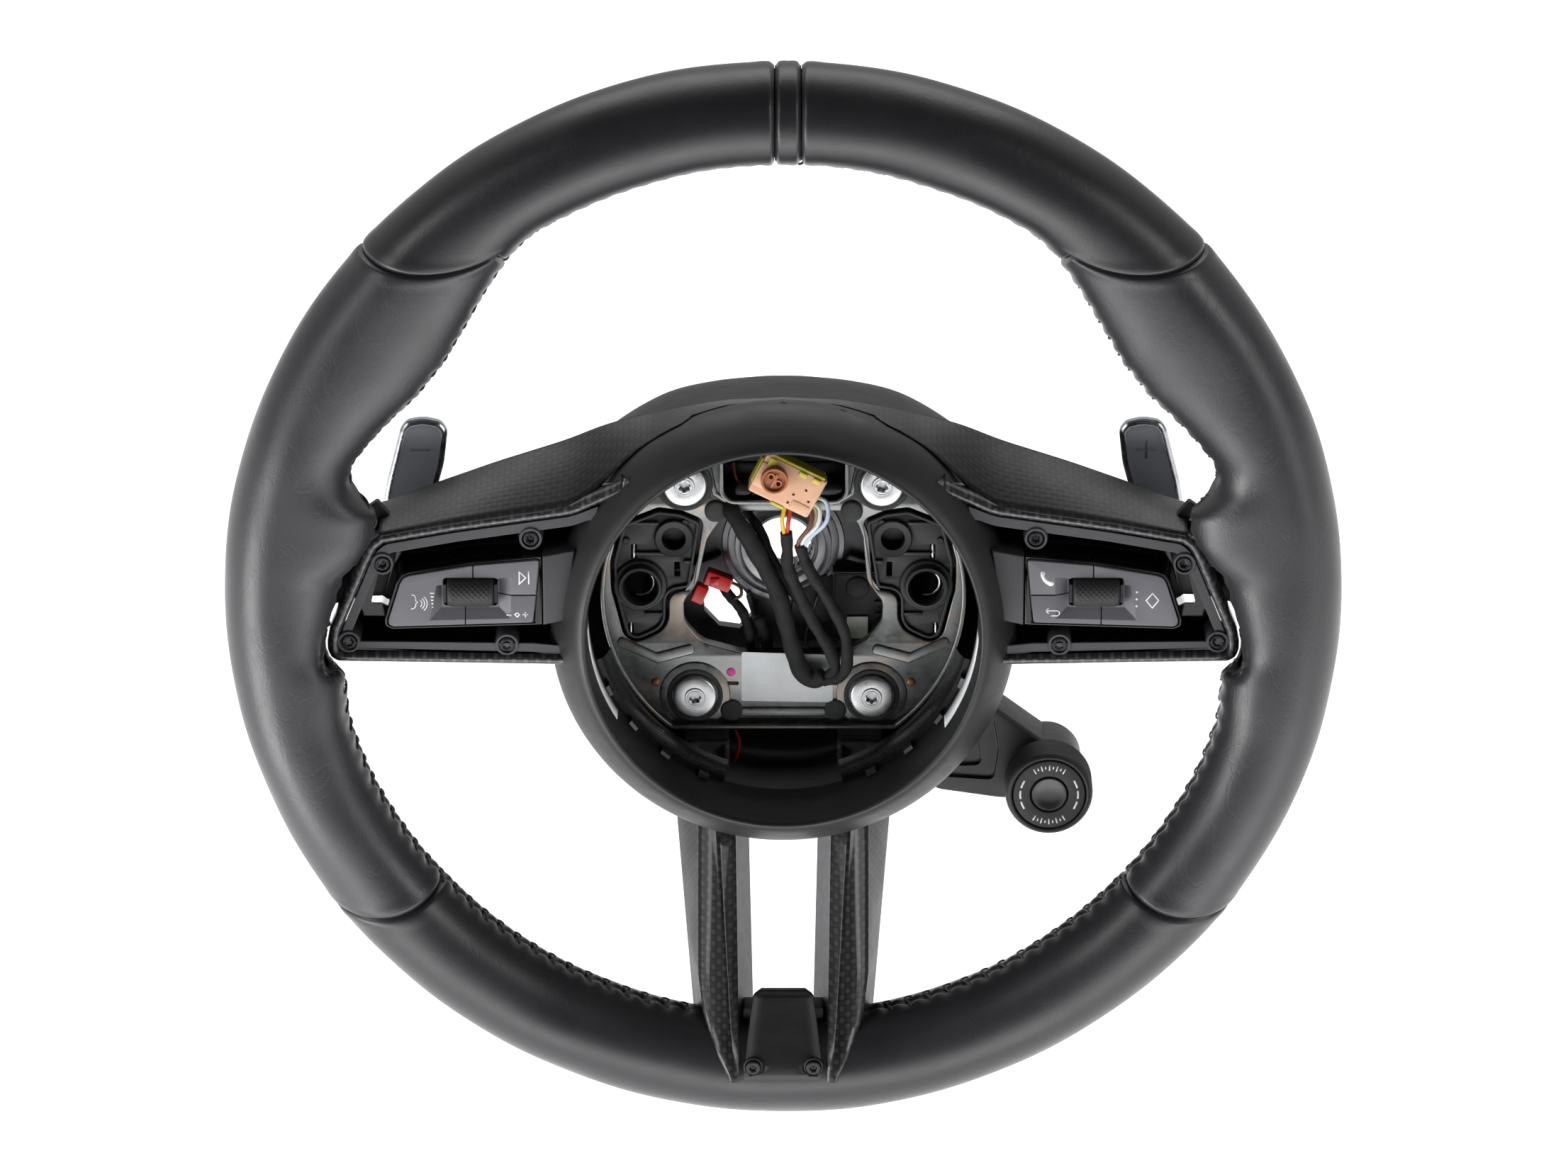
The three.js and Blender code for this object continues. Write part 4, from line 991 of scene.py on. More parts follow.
rim_cover("rim_cover_top_left", BAND_LEFT, TOP_LEFT, "rim_leather_top_left")
rim_cover("rim_cover_top_right", TOP_RIGHT, BAND_RIGHT, "rim_leather_top_right")
rim_cover("rim_cover_band", BAND_RIGHT, BAND_LEFT, "rim_leather_center_band",
          gap=0.08, tuck=1.5, groove=0.9)
rim_cover("rim_cover_grip_left", TOP_LEFT, LOW_LEFT, "rim_leather_grip_left",
          LEATHER_GRIP, pocketed=True)
rim_cover("rim_cover_grip_right", LOW_RIGHT - 2 * math.pi, TOP_RIGHT, "rim_leather_grip_right",
          LEATHER_GRIP, pocketed=True)
bottom_cover = rim_cover("rim_cover_bottom", LOW_LEFT, LOW_RIGHT, "rim_leather_bottom")


def foam_core():
    count = 560
    turn = (np.arange(count + 1) * 2 * math.pi / count)[:, None]
    turn = np.broadcast_to(turn, (count + 1, len(SECTIONS)))
    section = np.broadcast_to(SECTIONS[None], turn.shape)
    return pocketed_shell(rim_points(turn, section, -2.5), rim_points(turn, section, -7.0), 1.0)


make("rim_foam_core", foam_core(), FOAM, replaces="rim_foam")
subtract(bottom_cover, [leg_bar(-1, 0.4), leg_bar(1, 0.4)])


def rim_stitching():
    """Thread across the inner seam: one slanted loop per pucker and a link beside it."""
    reach = 0.19
    parts = []
    for k in range(int(round(2 * math.pi * SEAM_RADIUS / STITCH_PITCH))):
        middle = (k + 0.5) * STITCH_PITCH / SEAM_RADIUS
        x, z = THREAD_RADIUS * math.cos(middle), THREAD_RADIUS * math.sin(middle)
        # none behind the pads or between the legs
        if -26 < z < 24 or (z < -140 and abs(x) < 32):
            continue
        lean = 1.5 + 0.25 * math.sin(3.1 * k)
        loop, link = [], []
        for t in np.linspace(-1, 1, 9):
            rise = 0.34 * math.cos(t * math.pi / 2) - 0.42 * abs(t) ** 6
            turn = middle + t * lean / THREAD_RADIUS
            pucker = (PUCKER_HEIGHT * math.cos(2 * math.pi * turn * SEAM_RADIUS / STITCH_PITCH)
                      * math.exp(-(t * reach / PUCKER_WIDTH) ** 2))
            loop.append(rim_points(turn, math.pi + t * reach, rise + pucker * 0.9))
        for t in np.linspace(0, 1, 6):
            bow = math.sin(t * math.pi)
            turn = middle - (lean - t * 2.6) / THREAD_RADIUS
            link.append(rim_points(turn, math.pi - reach + 0.02 * bow, 0.38 * bow - 0.05))
        parts += [tube(loop, 0.42, 6), tube(link, 0.34, 6)]
    return join(parts)


make("rim_stitching", rim_stitching(), STITCH)

# ------------------------------------------------------------------ hub ring
# (radius, depth)
HUB_RING = [
    (66.35, -2.6), (66.5, -3.3), (66.95, -3.85), (67.4, -4.0), (68.1, -3.75), (69.2, -3.0),
    (70.6, -1.6), (72.2, 0.4), (73.8, 2.5), (75.3, 4.6), (76.6, 6.7), (77.6, 8.7), (78.4, 10.6),
    (78.85, 12.4), (HUB_RING_RADIUS, 14), (HUB_RING_RADIUS, 16.6), (78.6, 17), (77.5, 17),
    (77.2, 14), (76.4, 11.4), (74.9, 8.2), (73, 5.2), (71, 2.4), (69.3, 0.8), (68.2, 0.9),
    (67.8, 2.4), (67.8, 27.2), (67.5, 27.5), (66.6, 27.5), (66.35, 27.2), (66.35, 12), (66.2, 4),
]
make("hub_ring", turned(HUB_RING, 0, HUB_Z, 160), BEZEL, replaces="hub_bezel", sharp=48)
HUB_CLEARANCE = slab(circle(0, HUB_Z, HUB_RING_RADIUS + 0.35, 160), -60, 17.4)

# ------------------------------------------------------------------ upper spoke trim
# front edge as (x, z) and (x, depth), back edge as (x, z)
WING_FRONT_Z = [
    [0, 65.7], [20, 63.1], [38, 56], [52, 46.5], [62, 37.5], [66, 34.3], [71.4, 31.9],
    [110.8, 26.1], [135.7, 21.6],
]
WING_FRONT_DEPTH = [[0, 13], [48, 12.4], [60, 9.5], [72, 4.4], [80, 4], [136, 4]]
WING_BACK_Z = [
    [0, 62], [20, 61], [38, 57.5], [50, 55.2], [61, 51.9], [73, 46.8], [97, 38.9], [120, 30.4],
    [135.7, 24],
]
WING_BACK_DEPTH = 28
WING_THICKNESS = 2.6


def spoke_wing():
    """Carbon skin over both spokes, with a rolled front edge and a gently crowned top."""
    stations = np.linspace(-135.7, 135.7, 181)
    shares = np.concatenate([[0, .015, .04, .08], np.linspace(0.13, 1, 22)])
    x, back = np.meshgrid(stations, shares, indexing="ij")
    away = np.abs(x)
    front_z = soft_table(WING_FRONT_Z, away, 2.2)
    front_depth = soft_table(WING_FRONT_DEPTH, away, 2.0)
    z = front_z + (soft_table(WING_BACK_Z, away, 3.0) - front_z) * back
    z = z + 1.4 * np.sin(np.pi * back) * np.clip((away - 30) / 60, 0.25, 1.0)
    depth = front_depth + (WING_BACK_DEPTH - front_depth) * back
    roll = 0.9 * (1 - np.clip(back / 0.05, 0, 1)) ** 2
    outer = np.stack([x, depth + 0.2 * roll, z - roll], -1)
    inner = np.stack([x, depth + 0.8, z - WING_THICKNESS], -1)
    run = np.cumsum(np.linalg.norm(np.diff(outer, axis=1), axis=2), axis=1)
    run = np.concatenate([np.zeros((len(stations), 1)), run], 1)
    uvs = np.stack([x, run + 200], -1).reshape(-1, 2)
    wing = make("spoke_wing", shell(outer, inner), CARBON_SATIN,
                replaces="spoke_trim_upper", uvs=np.vstack([uvs, uvs]))
    subtract(wing, [HUB_CLEARANCE, spoke_bar(-1, 0.4), spoke_bar(1, 0.4)])


spoke_wing()

# section of the pad surround, outer wall to inner wall: (distance inwards, depth)
SURROUND_SECTION = [
    (0.9, 16), (0.35, 15.6), (0.1, 12), (0.0, 7.4), (0.15, 5.8), (0.6, 4.7), (1.2, 4.15),
    (2.0, 3.95), (2.9, 4.05), (3.2, 4.3), (3.9, 5.3), (4.05, 5.9), (4.1, 8), (4.1, 15.4),
    (3.7, 16),
]
SURROUND_RADII = [0, 0, 3, 3, 4, 4, 6, 8, 6, 4, 20, 20, 6, 6, 0]


def pad_surround(sign, side):
    """Lacquered carbon round a pad: outer wall, crowned front face, inner chamfer."""
    # the corner towards the hub is drawn out to run under the hub ring
    outline = rounded(FRAME_OUTER[:-1] + [[66, 34.4], [58, 38], [50, 42]], SURROUND_RADII, 6)
    outline = resample(ccw(outline), 420)
    part = hoop([[(sign * x, depth, z) for x, z in inset(outline, amount)]
                 for amount, depth in SURROUND_SECTION])
    points = np.array(part[0])
    uvs = np.stack([points[:, 0], points[:, 2] - points[:, 1] * 0.7], -1)
    make(f"spoke_frame_{side}", clamped(part, 71.0), CARBON_GLOSS,
         replaces="spoke_trim_upper", uvs=uvs, sharp=60)


for sign, side in SIDES:
    pad_surround(sign, side)

# ------------------------------------------------------------------ lower spoke
# stations down the right leg, first column z: depth and x of the ridge, x of the outer and
# inner edges, how far the sides fall back from the ridge
RIDGE_DEPTH = [[-169.6, -19.4], [-165, -18.8], [-160, -16.8], [-154, -13], [-90, 17], [-84, 19.8]]
RIDGE_X = [[-169.6, 16.9], [-90, 22.5], [-84, 22.9]]
OUTER_X = [[-169.6, 18.2], [-165, 20.4], [-160, 23], [-150, 27.2], [-137, 29.2], [-90, 29.4],
           [-84, 29.4]]
INNER_X = [[-169.6, 14.9], [-160, 14.8], [-145, 15.3], [-90, 16.3], [-84, 16.3]]
SIDE_DROP = [[-169.6, .6], [-160, 1.6], [-150, 3.2], [-137, 4], [-84, 4]]
# the back edge of the walls behind the legs
BACK_DEPTH = [[-158, 14], [-93, 44], [-84, 46]]
BACK_OUTER_X = [[-158, 30.6], [-93, 36.9], [-84, 37.4]]
BACK_INNER_X = [[-158, 10.3], [-93, 12.1], [-84, 12.1]]
# across the leg, outer edge to inner edge: (place, share of the drop, skirt)
LEG_SECTION = [
    (-1, .94, .9), (-1, 1, .35), (-1, .97, .05), (-.985, .93, 0), (-.8, .75, 0), (-.55, .5, 0),
    (-.3, .26, 0), (-.11, .07, 0), (-.06, .0, 0), (.06, .0, 0), (.13, .07, 0), (.35, .3, 0),
    (.6, .55, 0), (.85, .8, 0), (.985, .94, 0), (1, .98, .05), (1, 1, .35), (1, .94, .9),
]


def leg_trim(sign, side):
    zs = np.linspace(-84, -169.6, 90)
    ridge_x, ridge_depth = soft_table(RIDGE_X, zs, 1), soft_table(RIDGE_DEPTH, zs, 1.4)
    outer_x, inner_x, drop = (soft_table(t, zs, 1.4) for t in (OUTER_X, INNER_X, SIDE_DROP))
    outer, inner = [], []
    for place, share, skirt in LEG_SECTION:
        reach = outer_x - ridge_x if place < 0 else ridge_x - inner_x
        crown = (0.5 if place < 0 else 0.2) * np.sin(math.pi * abs(place))
        depth = ridge_depth + drop * share
        outer.append(np.stack([sign * (ridge_x - place * reach), depth - crown + skirt * 2.4, zs],
                              -1))
        inner.append(np.stack([sign * (ridge_x - place * reach * 0.93),
                               depth + 2.6 + skirt * .4, zs], -1))
    outer, inner = np.array(outer).transpose(1, 0, 2), np.array(inner).transpose(1, 0, 2)
    along = np.concatenate([[0], np.cumsum(np.hypot(np.diff(zs), np.diff(ridge_depth)))])
    along = np.broadcast_to(along[:, None], outer.shape[:2])
    uvs = np.stack([outer[..., 0] * 1.05, along], -1).reshape(-1, 2)
    leg = make(f"lower_leg_trim_{side}", shell(outer, inner), CARBON_LEG,
               replaces="spoke_trim_lower", uvs=np.vstack([uvs, uvs]), sharp=50)
    subtract(leg, [HUB_CLEARANCE])


for sign, side in SIDES:
    leg_trim(sign, side)

WALL_Z = np.linspace(-84, -158, 60)
TRIM_BACK = soft_table(RIDGE_DEPTH, WALL_Z, 1.4) + soft_table(SIDE_DROP, WALL_Z, 1.4)
WALL_BACK = soft_table(BACK_DEPTH, WALL_Z, 1.0)
WALL_OUTER = soft_table(OUTER_X, WALL_Z, 1.4) - 0.4, soft_table(BACK_OUTER_X, WALL_Z, 1.0)
WALL_INNER = soft_table(INNER_X, WALL_Z, 1.4) + 0.4, soft_table(BACK_INNER_X, WALL_Z, 1.0)


def wall_line(sign, edges, share, front, bulge=0.0, shift_x=0.0, shift_depth=0.0):
    """Line down a wall, share of the way from its front edge to its back edge."""
    front_x, back_x = edges
    x = front_x + (back_x - front_x) * share + bulge * math.sin(math.pi * share) + shift_x
    depth = front + (WALL_BACK - front) * share + shift_depth
    return np.stack([sign * x, depth, WALL_Z], -1)


def leg_channel(sign):
    """Hollow channel behind a leg."""
    shares = (0, .06, .12, .5, .9, 1)
    front = TRIM_BACK + 2.6

    def skin(thick):
        ends = {0: thick, 1: -thick}
        lines = [wall_line(sign, WALL_OUTER, w, front, 0.25, -thick, ends.get(w, 0))
                 for w in shares]
        lines += [wall_line(sign, WALL_INNER, w, front, 0.0, thick, ends.get(w, 0))
                  for w in shares[::-1]]
        return np.array(lines).transpose(1, 0, 2)

    return shell(skin(0), skin(1.8), wrap=True)


make("lower_spoke_walls",
     join([leg_channel(1), leg_channel(-1), brick(-15.2, 15.2, 28, 38, -90.5, -86, 0.8),
           brick(-13.8, 13.8, -3.2, 6, -153.2, -148.8, 0.8)]),
     WALL, replaces="lower_spoke_backing",
     finish=lambda ob: bevel(ob, width=0.35, limit=40))


def leg_side(sign, side):
    """Carbon skin on the outer face of a leg channel."""
    skins = [np.array([wall_line(sign, WALL_OUTER, w, TRIM_BACK + 2.3, 0.25, lift)
                       for w in (0, .03, .2, .4, .6, .8, .97, .985)]).transpose(1, 0, 2)
             for lift in (0.25, -0.1)]
    uvs = skins[0].reshape(-1, 3)[:, 1:]
    make(f"lower_leg_side_{side}", shell(*skins), CARBON_SIDE,
         uvs=np.vstack([uvs, uvs]), sharp=50)


for sign, side in SIDES:
    leg_side(sign, side)

# cover at the foot of the spoke
FOOT_LOW, FOOT_HIGH = -170.3, -141.2
FOOT_SCREW_X, FOOT_SCREW_Z = 10.3, -164.4
# (z, depth) and (z, half width)
FOOT_DEPTH = [[FOOT_LOW, -18.8], [-165, -18], [-158, -14.6], [-150, -10.3], [FOOT_HIGH, -6.2]]
FOOT_HALF = [[FOOT_LOW, 13.2], [-168, 14.0], [-146, 10.9], [-143, 10.3], [FOOT_HIGH, 7.6]]
# stepped edge: (share of the half width, drop) and (distance from an end up to, drop)
FOOT_STEPS = [(0, 0), (.3, 0), (.6, 0), (.86, .08), (.9, .5), (.95, .55), (.985, .85), (1, 1.5)]
FOOT_LIPS = [(0.1, 1.1), (0.9, 0.6), (1.7, 0.5), (2.4, 0.06), (99, 0.0)]


def foot_cover():
    columns = [(-share, drop) for share, drop in FOOT_STEPS[:0:-1]] + FOOT_STEPS
    zs = np.concatenate([np.linspace(FOOT_LOW, -168, 4), np.linspace(-167, -145, 26),
                         np.linspace(-144.4, FOOT_HIGH, 9)])
    outer, inner = [], []
    for z in zs:
        depth = float(soft_table(FOOT_DEPTH, z, 1.2))
        half = float(np.interp(z, *np.transpose(FOOT_HALF)))
        from_end = min(z - FOOT_LOW, FOOT_HIGH - z)
        lip = next(drop for limit, drop in FOOT_LIPS if from_end < limit)
        outer.append([(share * half, depth + max(drop, lip), z) for share, drop in columns])
        inner.append([(share * half * 0.97, depth + 3.0, z) for share, _ in columns])
    cover = make("spoke_foot_cover", shell(outer, inner), HUB_BLACK,
                 replaces="lower_spoke_cover")
    subtract(cover, [slab(circle(sign * FOOT_SCREW_X, FOOT_SCREW_Z, 2.95, 24), -30, -17.4)
                     for sign, _ in SIDES])


foot_cover()

# ------------------------------------------------------------------ rear cover
# (degrees above the horizontal, reach from the hub's axis), looked up in tenths of a degree
REACH = [[-90, 69.5], [-45, 71], [-25, 74], [0, 79], [20, 82], [38, 84], [52, 81.5], [60, 80.4],
         [70, 77.8], [80, 76], [90, 75.6]]
REACH_TABLE = soft_table(REACH, np.linspace(-90, 90, 1801), 2.2)
# (radius, depth)
REAR_PROFILE = [
    (78, 28.7), (78.05, 33), (77.9, 39), (77.6, 45), (77, 50), (76.3, 54.5), (75.4, 58.4),
    (74.3, 61), (72.8, 62.9), (70.6, 63.9), (66, 64), (46, 64), (45.2, 64), (44.6, 63.6),
    (44.5, 62.4), (44.9, 62), (69.4, 62), (71.4, 61), (73, 58.2), (74.4, 52), (75.4, 45),
    (75.9, 36), (76, 28.7),
]


def rear_reach(radius, angle):
    """Stretches the outer part of the profile; the bore stays round."""
    up = math.degrees(math.asin(max(-1.0, min(1.0, math.sin(angle)))))
    share = min(1.0, max(0.0, (radius - 46) / 22))
    return radius + (float(REACH_TABLE[int(round((up + 90) * 10))]) - 78) * share


make("hub_rear_shell", turned(REAR_PROFILE, 0, HUB_Z, 180, rear_reach), MATTE,
     replaces="rear_cover", sharp=50)


# ------------------------------------------------------------------ screws
def torx(x, z, radius, turn):
    """Six-lobed outline."""
    out = []
    for k in range(48):
        a = 2 * math.pi * k / 48
        r = radius * (0.86 + 0.14 * math.cos(6 * a))
        out.append((x + r * math.cos(a + turn), z + r * math.sin(a + turn)))
    return out


def torx_head(x, z, radius, front, back, socket, edge, depth, turn):
    """Parts of a pan head; its six-lobed socket is a share of the radius."""
    floor = front + depth
    return [
        plate(circle(x, z, radius, 40), front, floor, edge, 0.0, 4,
              holes=[torx(x, z, radius * socket, turn)]),
        plate(circle(x, z, radius * 0.995, 40), floor - 0.03, back, 0.0, 0.1, 2),
        plate(circle(x, z, radius * socket * 0.2, 16), front + depth * 0.45, floor, 0.08, 0.0, 2),
    ]


# ------------------------------------------------------------------ switch pads
# (x, z) outlines on the right pad
TRAY_OUTER = rounded([
    [62, -22], [84.2, -21.5], [147.5, -20.6], [149, -19.7], [149.4, -18], [148.9, -14],
    [139, 10.2], [136.7, 14.7], [133.6, 17.4], [110.1, 21.6], [70.9, 27.4], [62, 31],
], [0, 0, 2, 2, 3, 4, 5, 6, 5, 20, 20, 0])
TRAY_INNER = rounded([
    [62, -19.8], [84, -19.4], [146.3, -18.6], [147.2, -17.4], [146.9, -14.4], [137.1, 9.6],
    [135, 13.2], [132.6, 15.3], [110, 19.4], [70.9, 25.1], [62, 28.6],
], [0, 0, 1.6, 1.6, 3, 4, 4, 5, 4, 20, 20, 0])
POD = ccw(rounded([
    [62, -9.2], [84.5, -10.6], [131.6, -12.1], [134, -11], [134.2, -8.8], [129.9, 5],
    [128.2, 7.6], [125.8, 8.6], [104.9, 12], [81.5, 14.3], [62, 17],
], [0, 6, 1.5, 1.5, 2.5, 3, 2.5, 2.5, 20, 10, 0]))
KEYS = ccw(rounded([
    [84.2, -9.4], [131.2, -10.9], [132.7, -10.2], [132.9, -8.6], [128.7, 4.6], [127.4, 6.6],
    [125.4, 7.4], [104.9, 10.9], [82, 13],
], [0.8, 1.2, 1.0, 1.4, 2.5, 1.6, 2.2, 18, 0.8]))
# slot in the tub's floor beyond the keys
TUB_SLOT = [[132.1, 5.2], [136.6, 3.6], [139.6, -8.6], [135.6, -8.6]]
PAD_SCREWS = [[84.8, 19.5], [134.8, 10.5], [146.6, -17.6], [93.2, -18.6]]
# (radius, depth)
PAD_BOSS = [(2.95, 5.0), (3.1, 4.85), (3.65, 4.85), (3.85, 5.05), (3.95, 5.6), (4.1, 7.6),
            (4.2, 17.9), (1.5, 17.9), (1.5, 7.4), (2.95, 7.4)]
ROLLER_X, ROLLER_Z, ROLLER_DEPTH = 105.2, 1.3, 3.0
ROLLER_RADIUS, ROLLER_HALF = 4.82, 7.8
KEY_FRONT = 2.0
# dish round the roller, shared by the keys: offsets of its corners at the front and below
DISH_TOP = [(-13.6, -9.3), (13.9, -10.0), (11.4, 2.6), (-14.0, 5.6)]
DISH_BOTTOM = [(-9.7, -5.9), (9.7, -6.0), (9.7, 4.6), (-9.7, 5.2)]


def pad_tray(sign, side):
    """Glossy tub with a flat floor, the satin land round it, its screw bosses and screws."""
    outer = flip(TRAY_OUTER, sign)
    walls = plate(outer, 6.1, 18.2, 0.0, 0.2, holes=[flip(inset(TRAY_INNER, 0.7), sign)])
    floor = plate(flip(inset(TRAY_OUTER, 0.1), sign), 17.8, 19.5, 0.0, 0.3,
                  holes=[flip(rounded(TUB_SLOT, 0.8, 3), sign)])
    make(f"pad_tub_{side}", clamped(join([walls, floor])), GLOSS,
         replaces=f"switch_bezel_{side}", sharp=40)
    land = plate(outer, 5.55, 6.4, 0.18, 0.1, holes=[flip(inset(TRAY_INNER, 1.15), sign)])
    make(f"pad_land_{side}", clamped(land), LAND, finish=weight_normals)
    bosses = [turned(PAD_BOSS, sign * x, z, 40) for x, z in PAD_SCREWS]
    make(f"pad_bosses_{side}", join(bosses), LAND, sharp=40)
    for i, (x, z) in enumerate(PAD_SCREWS, 1):
        head = torx_head(sign * x, z, radius=2.55, front=5.1, back=7.2, socket=0.52, edge=0.6,
                         depth=1.1, turn=0.37 * i)
        shank = plate(circle(sign * x, z, 1.1, 12), 7.1, 15, 0, 0.2)
        make(f"pad_screw_{side}_{i}", join(head + [shank]), BLACK_STEEL,
             replaces=f"switch_screw_{side}_{i}", sharp=40)


def around_roller(half_x, half_z, corner, steps):
    return round_rect(ROLLER_X - half_x, ROLLER_X + half_x, ROLLER_Z - half_z, ROLLER_Z + half_z,
                      corner, steps)


def pad_pod(sign, side):
    """Glossy pod widening towards the tub floor, and the matte block next to the hub."""
    main = clip(POD, 0, 81.2, True)
    skirt = plate(flip(main, sign), 2.75, 8.2, 0.45, 0.0, 4, draft=0.5,
                  holes=[flip(inset(KEYS, -0.28), sign)])
    foot = inset(main, -0.45)
    well = around_roller(9.6, 5.2, 0.5, 2)
    middle = plate(flip(foot, sign), 8.0, 14.4, 0.0, 0.0, draft=0.8, holes=[flip(well, sign)])
    base = plate(flip(inset(foot, -0.8), sign), 14.38, 20.4, 0.0, 0.3, draft=0.8)
    make(f"pad_pod_{side}", join([skirt, middle, base]), GLOSS,
         replaces=f"switch_housing_{side}", sharp=40)

    def slope(x, depth, z):
        """Lets the front face fall back towards the hub."""
        share = max(0.0, min(1.0, (81 - abs(x)) / 9.0))
        return x, depth + (1.6 * share * share if depth < 6 else 0.0), z

    block = clip(clip(POD, 0, 80.8, False), 0, 70, True)
    block = plate(flip(block, sign), 2.1, 20.4, 0.6, 0.2, 4, draft=0.7)
    make(f"pad_block_{side}", clamped(moved(block, slope)), POD_GREY,
         replaces=f"switch_housing_{side}", sharp=35)


def pad_keys(sign, side):
    """Three keys with fine gaps and one sloped dish round the roller."""
    dish = loft([[(sign * (ROLLER_X + x), depth, ROLLER_Z + z) for x, z in corners]
                 for corners, depth in ((DISH_TOP, 1.95), (DISH_BOTTOM, 4.2))])
    window = slab(flip(around_roller(9.2, 5.4, 1.2, 4), sign), -6, 12)
    # lets the lower key reach in under the outer one
    step = brick(sign * 100, sign * 107.18, -3, 12, -30, 0.0, 0.1, 0, 0)
    keys = (
        ("outer", clip(KEYS, 0, 104.38, True), [dish, window, step]),
        ("upper", clip(clip(KEYS, 0, 104.02, False), 1, 0.58, True), [dish, window]),
        ("lower", clip(clip(KEYS, 0, 106.82, False), 1, 0.22, False), [dish, window]),
    )
    for name, outline, cutters in keys:
        body = f"key_{side}_{name}"
        key = make(f"pad_key_{side}_{name}",
                   plate(flip(outline, sign), KEY_FRONT, 5.9, 0.28, 0.1), KEY, body,
                   replaces=body)
        subtract(key, cutters)
        bevel(key, width=0.12, limit=24)


def knurl(first, second):
    """Height 0..1 of crossed grooves; each argument counts the grooves of one direction."""
    return np.minimum(np.abs(np.mod(first, 1) - 0.5), np.abs(np.mod(second, 1) - 0.5)) * 2


def knurled_roller(sign):
    ends = [6.9, 7.3, 7.6, 7.78, ROLLER_HALF]
    stations = np.concatenate([[-x for x in ends[::-1]], np.linspace(-6.6, 6.6, 74), ends])
    angles = np.linspace(0, 2 * math.pi, 150, endpoint=False)
    rings = []
    for x in stations:
        end = min(1.0, max(0.0, (ROLLER_HALF - abs(x)) / 1.0))
        base = ROLLER_RADIUS - 1.15 * (1 - math.sqrt(max(0.0, 1 - (1 - end) ** 2)))
        fade = min(1.0, max(0.0, (6.7 - abs(x)) / 0.5))
        wave = knurl((x * 1.02 + angles * 4.9) / 1.9, (x * 1.02 - angles * 4.9) / 1.9)
        r = base + fade * 0.2 * np.clip(wave * 2.4, 0, 1)
        rings.append(np.stack([np.full(len(angles), sign * ROLLER_X + x),
                               ROLLER_DEPTH + r * np.cos(angles),
                               ROLLER_Z + r * np.sin(angles)], -1))
    return loft(rings)


def pad_roller(sign, side):
    body = f"roller_{side}"
    make(f"pad_roller_{side}", knurled_roller(sign), MATTE, body,
         replaces=body, sharp=60)
    pins = [tube([(sign * ROLLER_X + end * reach, ROLLER_DEPTH, ROLLER_Z) for reach in (7.7, 8.9)],
                 1.0, 14) for end in (-1, 1)]
    make(f"pad_roller_pins_{side}", join(pins), MATTE, body, sharp=40)


for sign, side in SIDES:
    pad_tray(sign, side)
    pad_pod(sign, side)
    pad_keys(sign, side)
    pad_roller(sign, side)

# ------------------------------------------------------------------ icons on the key faces
INK_FRONT, INK_BACK = 1.955, 2.12


def ink(name, body, parts):
    make(name, join(parts), WHITE_INK, body)


def strokes(lines, width):
    return [ribbon(line, width, INK_FRONT, INK_BACK) for line in lines]


# talking face with sound waves, and a row of level bars
FACE = [(-124.9, 0.6), (-123.9, 0.3), (-123.5, -0.8), (-123.6, -1.6), (-122.9, -2.1),
        (-123.6, -2.6), (-123.6, -3.4), (-124.1, -4.2), (-125.1, -4.5)]
ink("icon_voice", "key_left_outer",
    strokes([FACE] + [arc(-123.0, -2.5, radius, -48, 48) for radius in (1.5, 2.4, 3.3)], 0.34))
ink("icon_level", "key_left_outer",
    strokes([[(-118.55 + 0.14 * k, 1.2 - 1.25 * k), (-117.35 - 0.14 * k, 1.2 - 1.25 * k)]
             for k in range(5)], 0.5))
ink("icon_play", "key_left_upper",
    strokes([[(-88.7, 8.9), (-88.7, 4.5), (-86.5, 6.7), (-88.7, 8.9)],
             [(-85.5, 9.0), (-85.5, 4.5)]], 0.42))
ink("icon_minus_plus", "key_left_lower",
    strokes([[(-93.0, -6.6), (-91.4, -6.6)], [(-87.6, -6.5), (-85.9, -6.5)],
             [(-86.75, -5.65), (-86.75, -7.35)],
             [(-90.3, -6.55), (-89.5, -5.75), (-88.7, -6.55), (-89.5, -7.35), (-90.3, -6.55)]],
            0.38))
# handset, return arrow, three dots and a diamond
PHONE = [(86.4, 8.8), (87.3, 9.2), (88.0, 8.3), (87.6, 7.3), (88.5, 6.1), (89.4, 5.4),
         (90.3, 5.6), (91.1, 4.8), (90.6, 3.9), (89.6, 3.7), (88.3, 4.5), (87.1, 5.8), (86.4, 7.4)]
ink("icon_phone", "key_right_upper", [slab(rounded(PHONE, 0.35, 3), INK_FRONT, INK_BACK)])
ink("icon_return", "key_right_lower",
    strokes([[(88.2, -5.1), (92.2, -5.1), (92.9, -5.6), (92.9, -6.4), (92.2, -6.9), (90.2, -6.9)],
             [(89.2, -4.2), (88.2, -5.1), (89.2, -6.0)]], 0.4))
ink("icon_dots", "key_right_outer",
    [slab(circle(118.8, z, 0.42, 14), INK_FRONT, INK_BACK) for z in (1.6, -0.9, -3.4)])
ink("icon_diamond", "key_right_outer",
    strokes([[(124.1, 1.2), (122.0, -1.45), (124.1, -4.1), (126.2, -1.45), (124.1, 1.2)]], 0.42))

# ------------------------------------------------------------------ shift paddles
BLADE = rounded([
    [137, -6], [137.2, 12], [135, 25], [129.9, 44.8], [127.6, 47.5], [122, 48.4], [116.4, 47.2],
    [113.9, 44], [115.3, 32], [118.4, 21], [119, 14], [119, -6],
], [1, 8, 40, 6, 4, 10, 4, 4, 30, 8, 3, 1], 6)
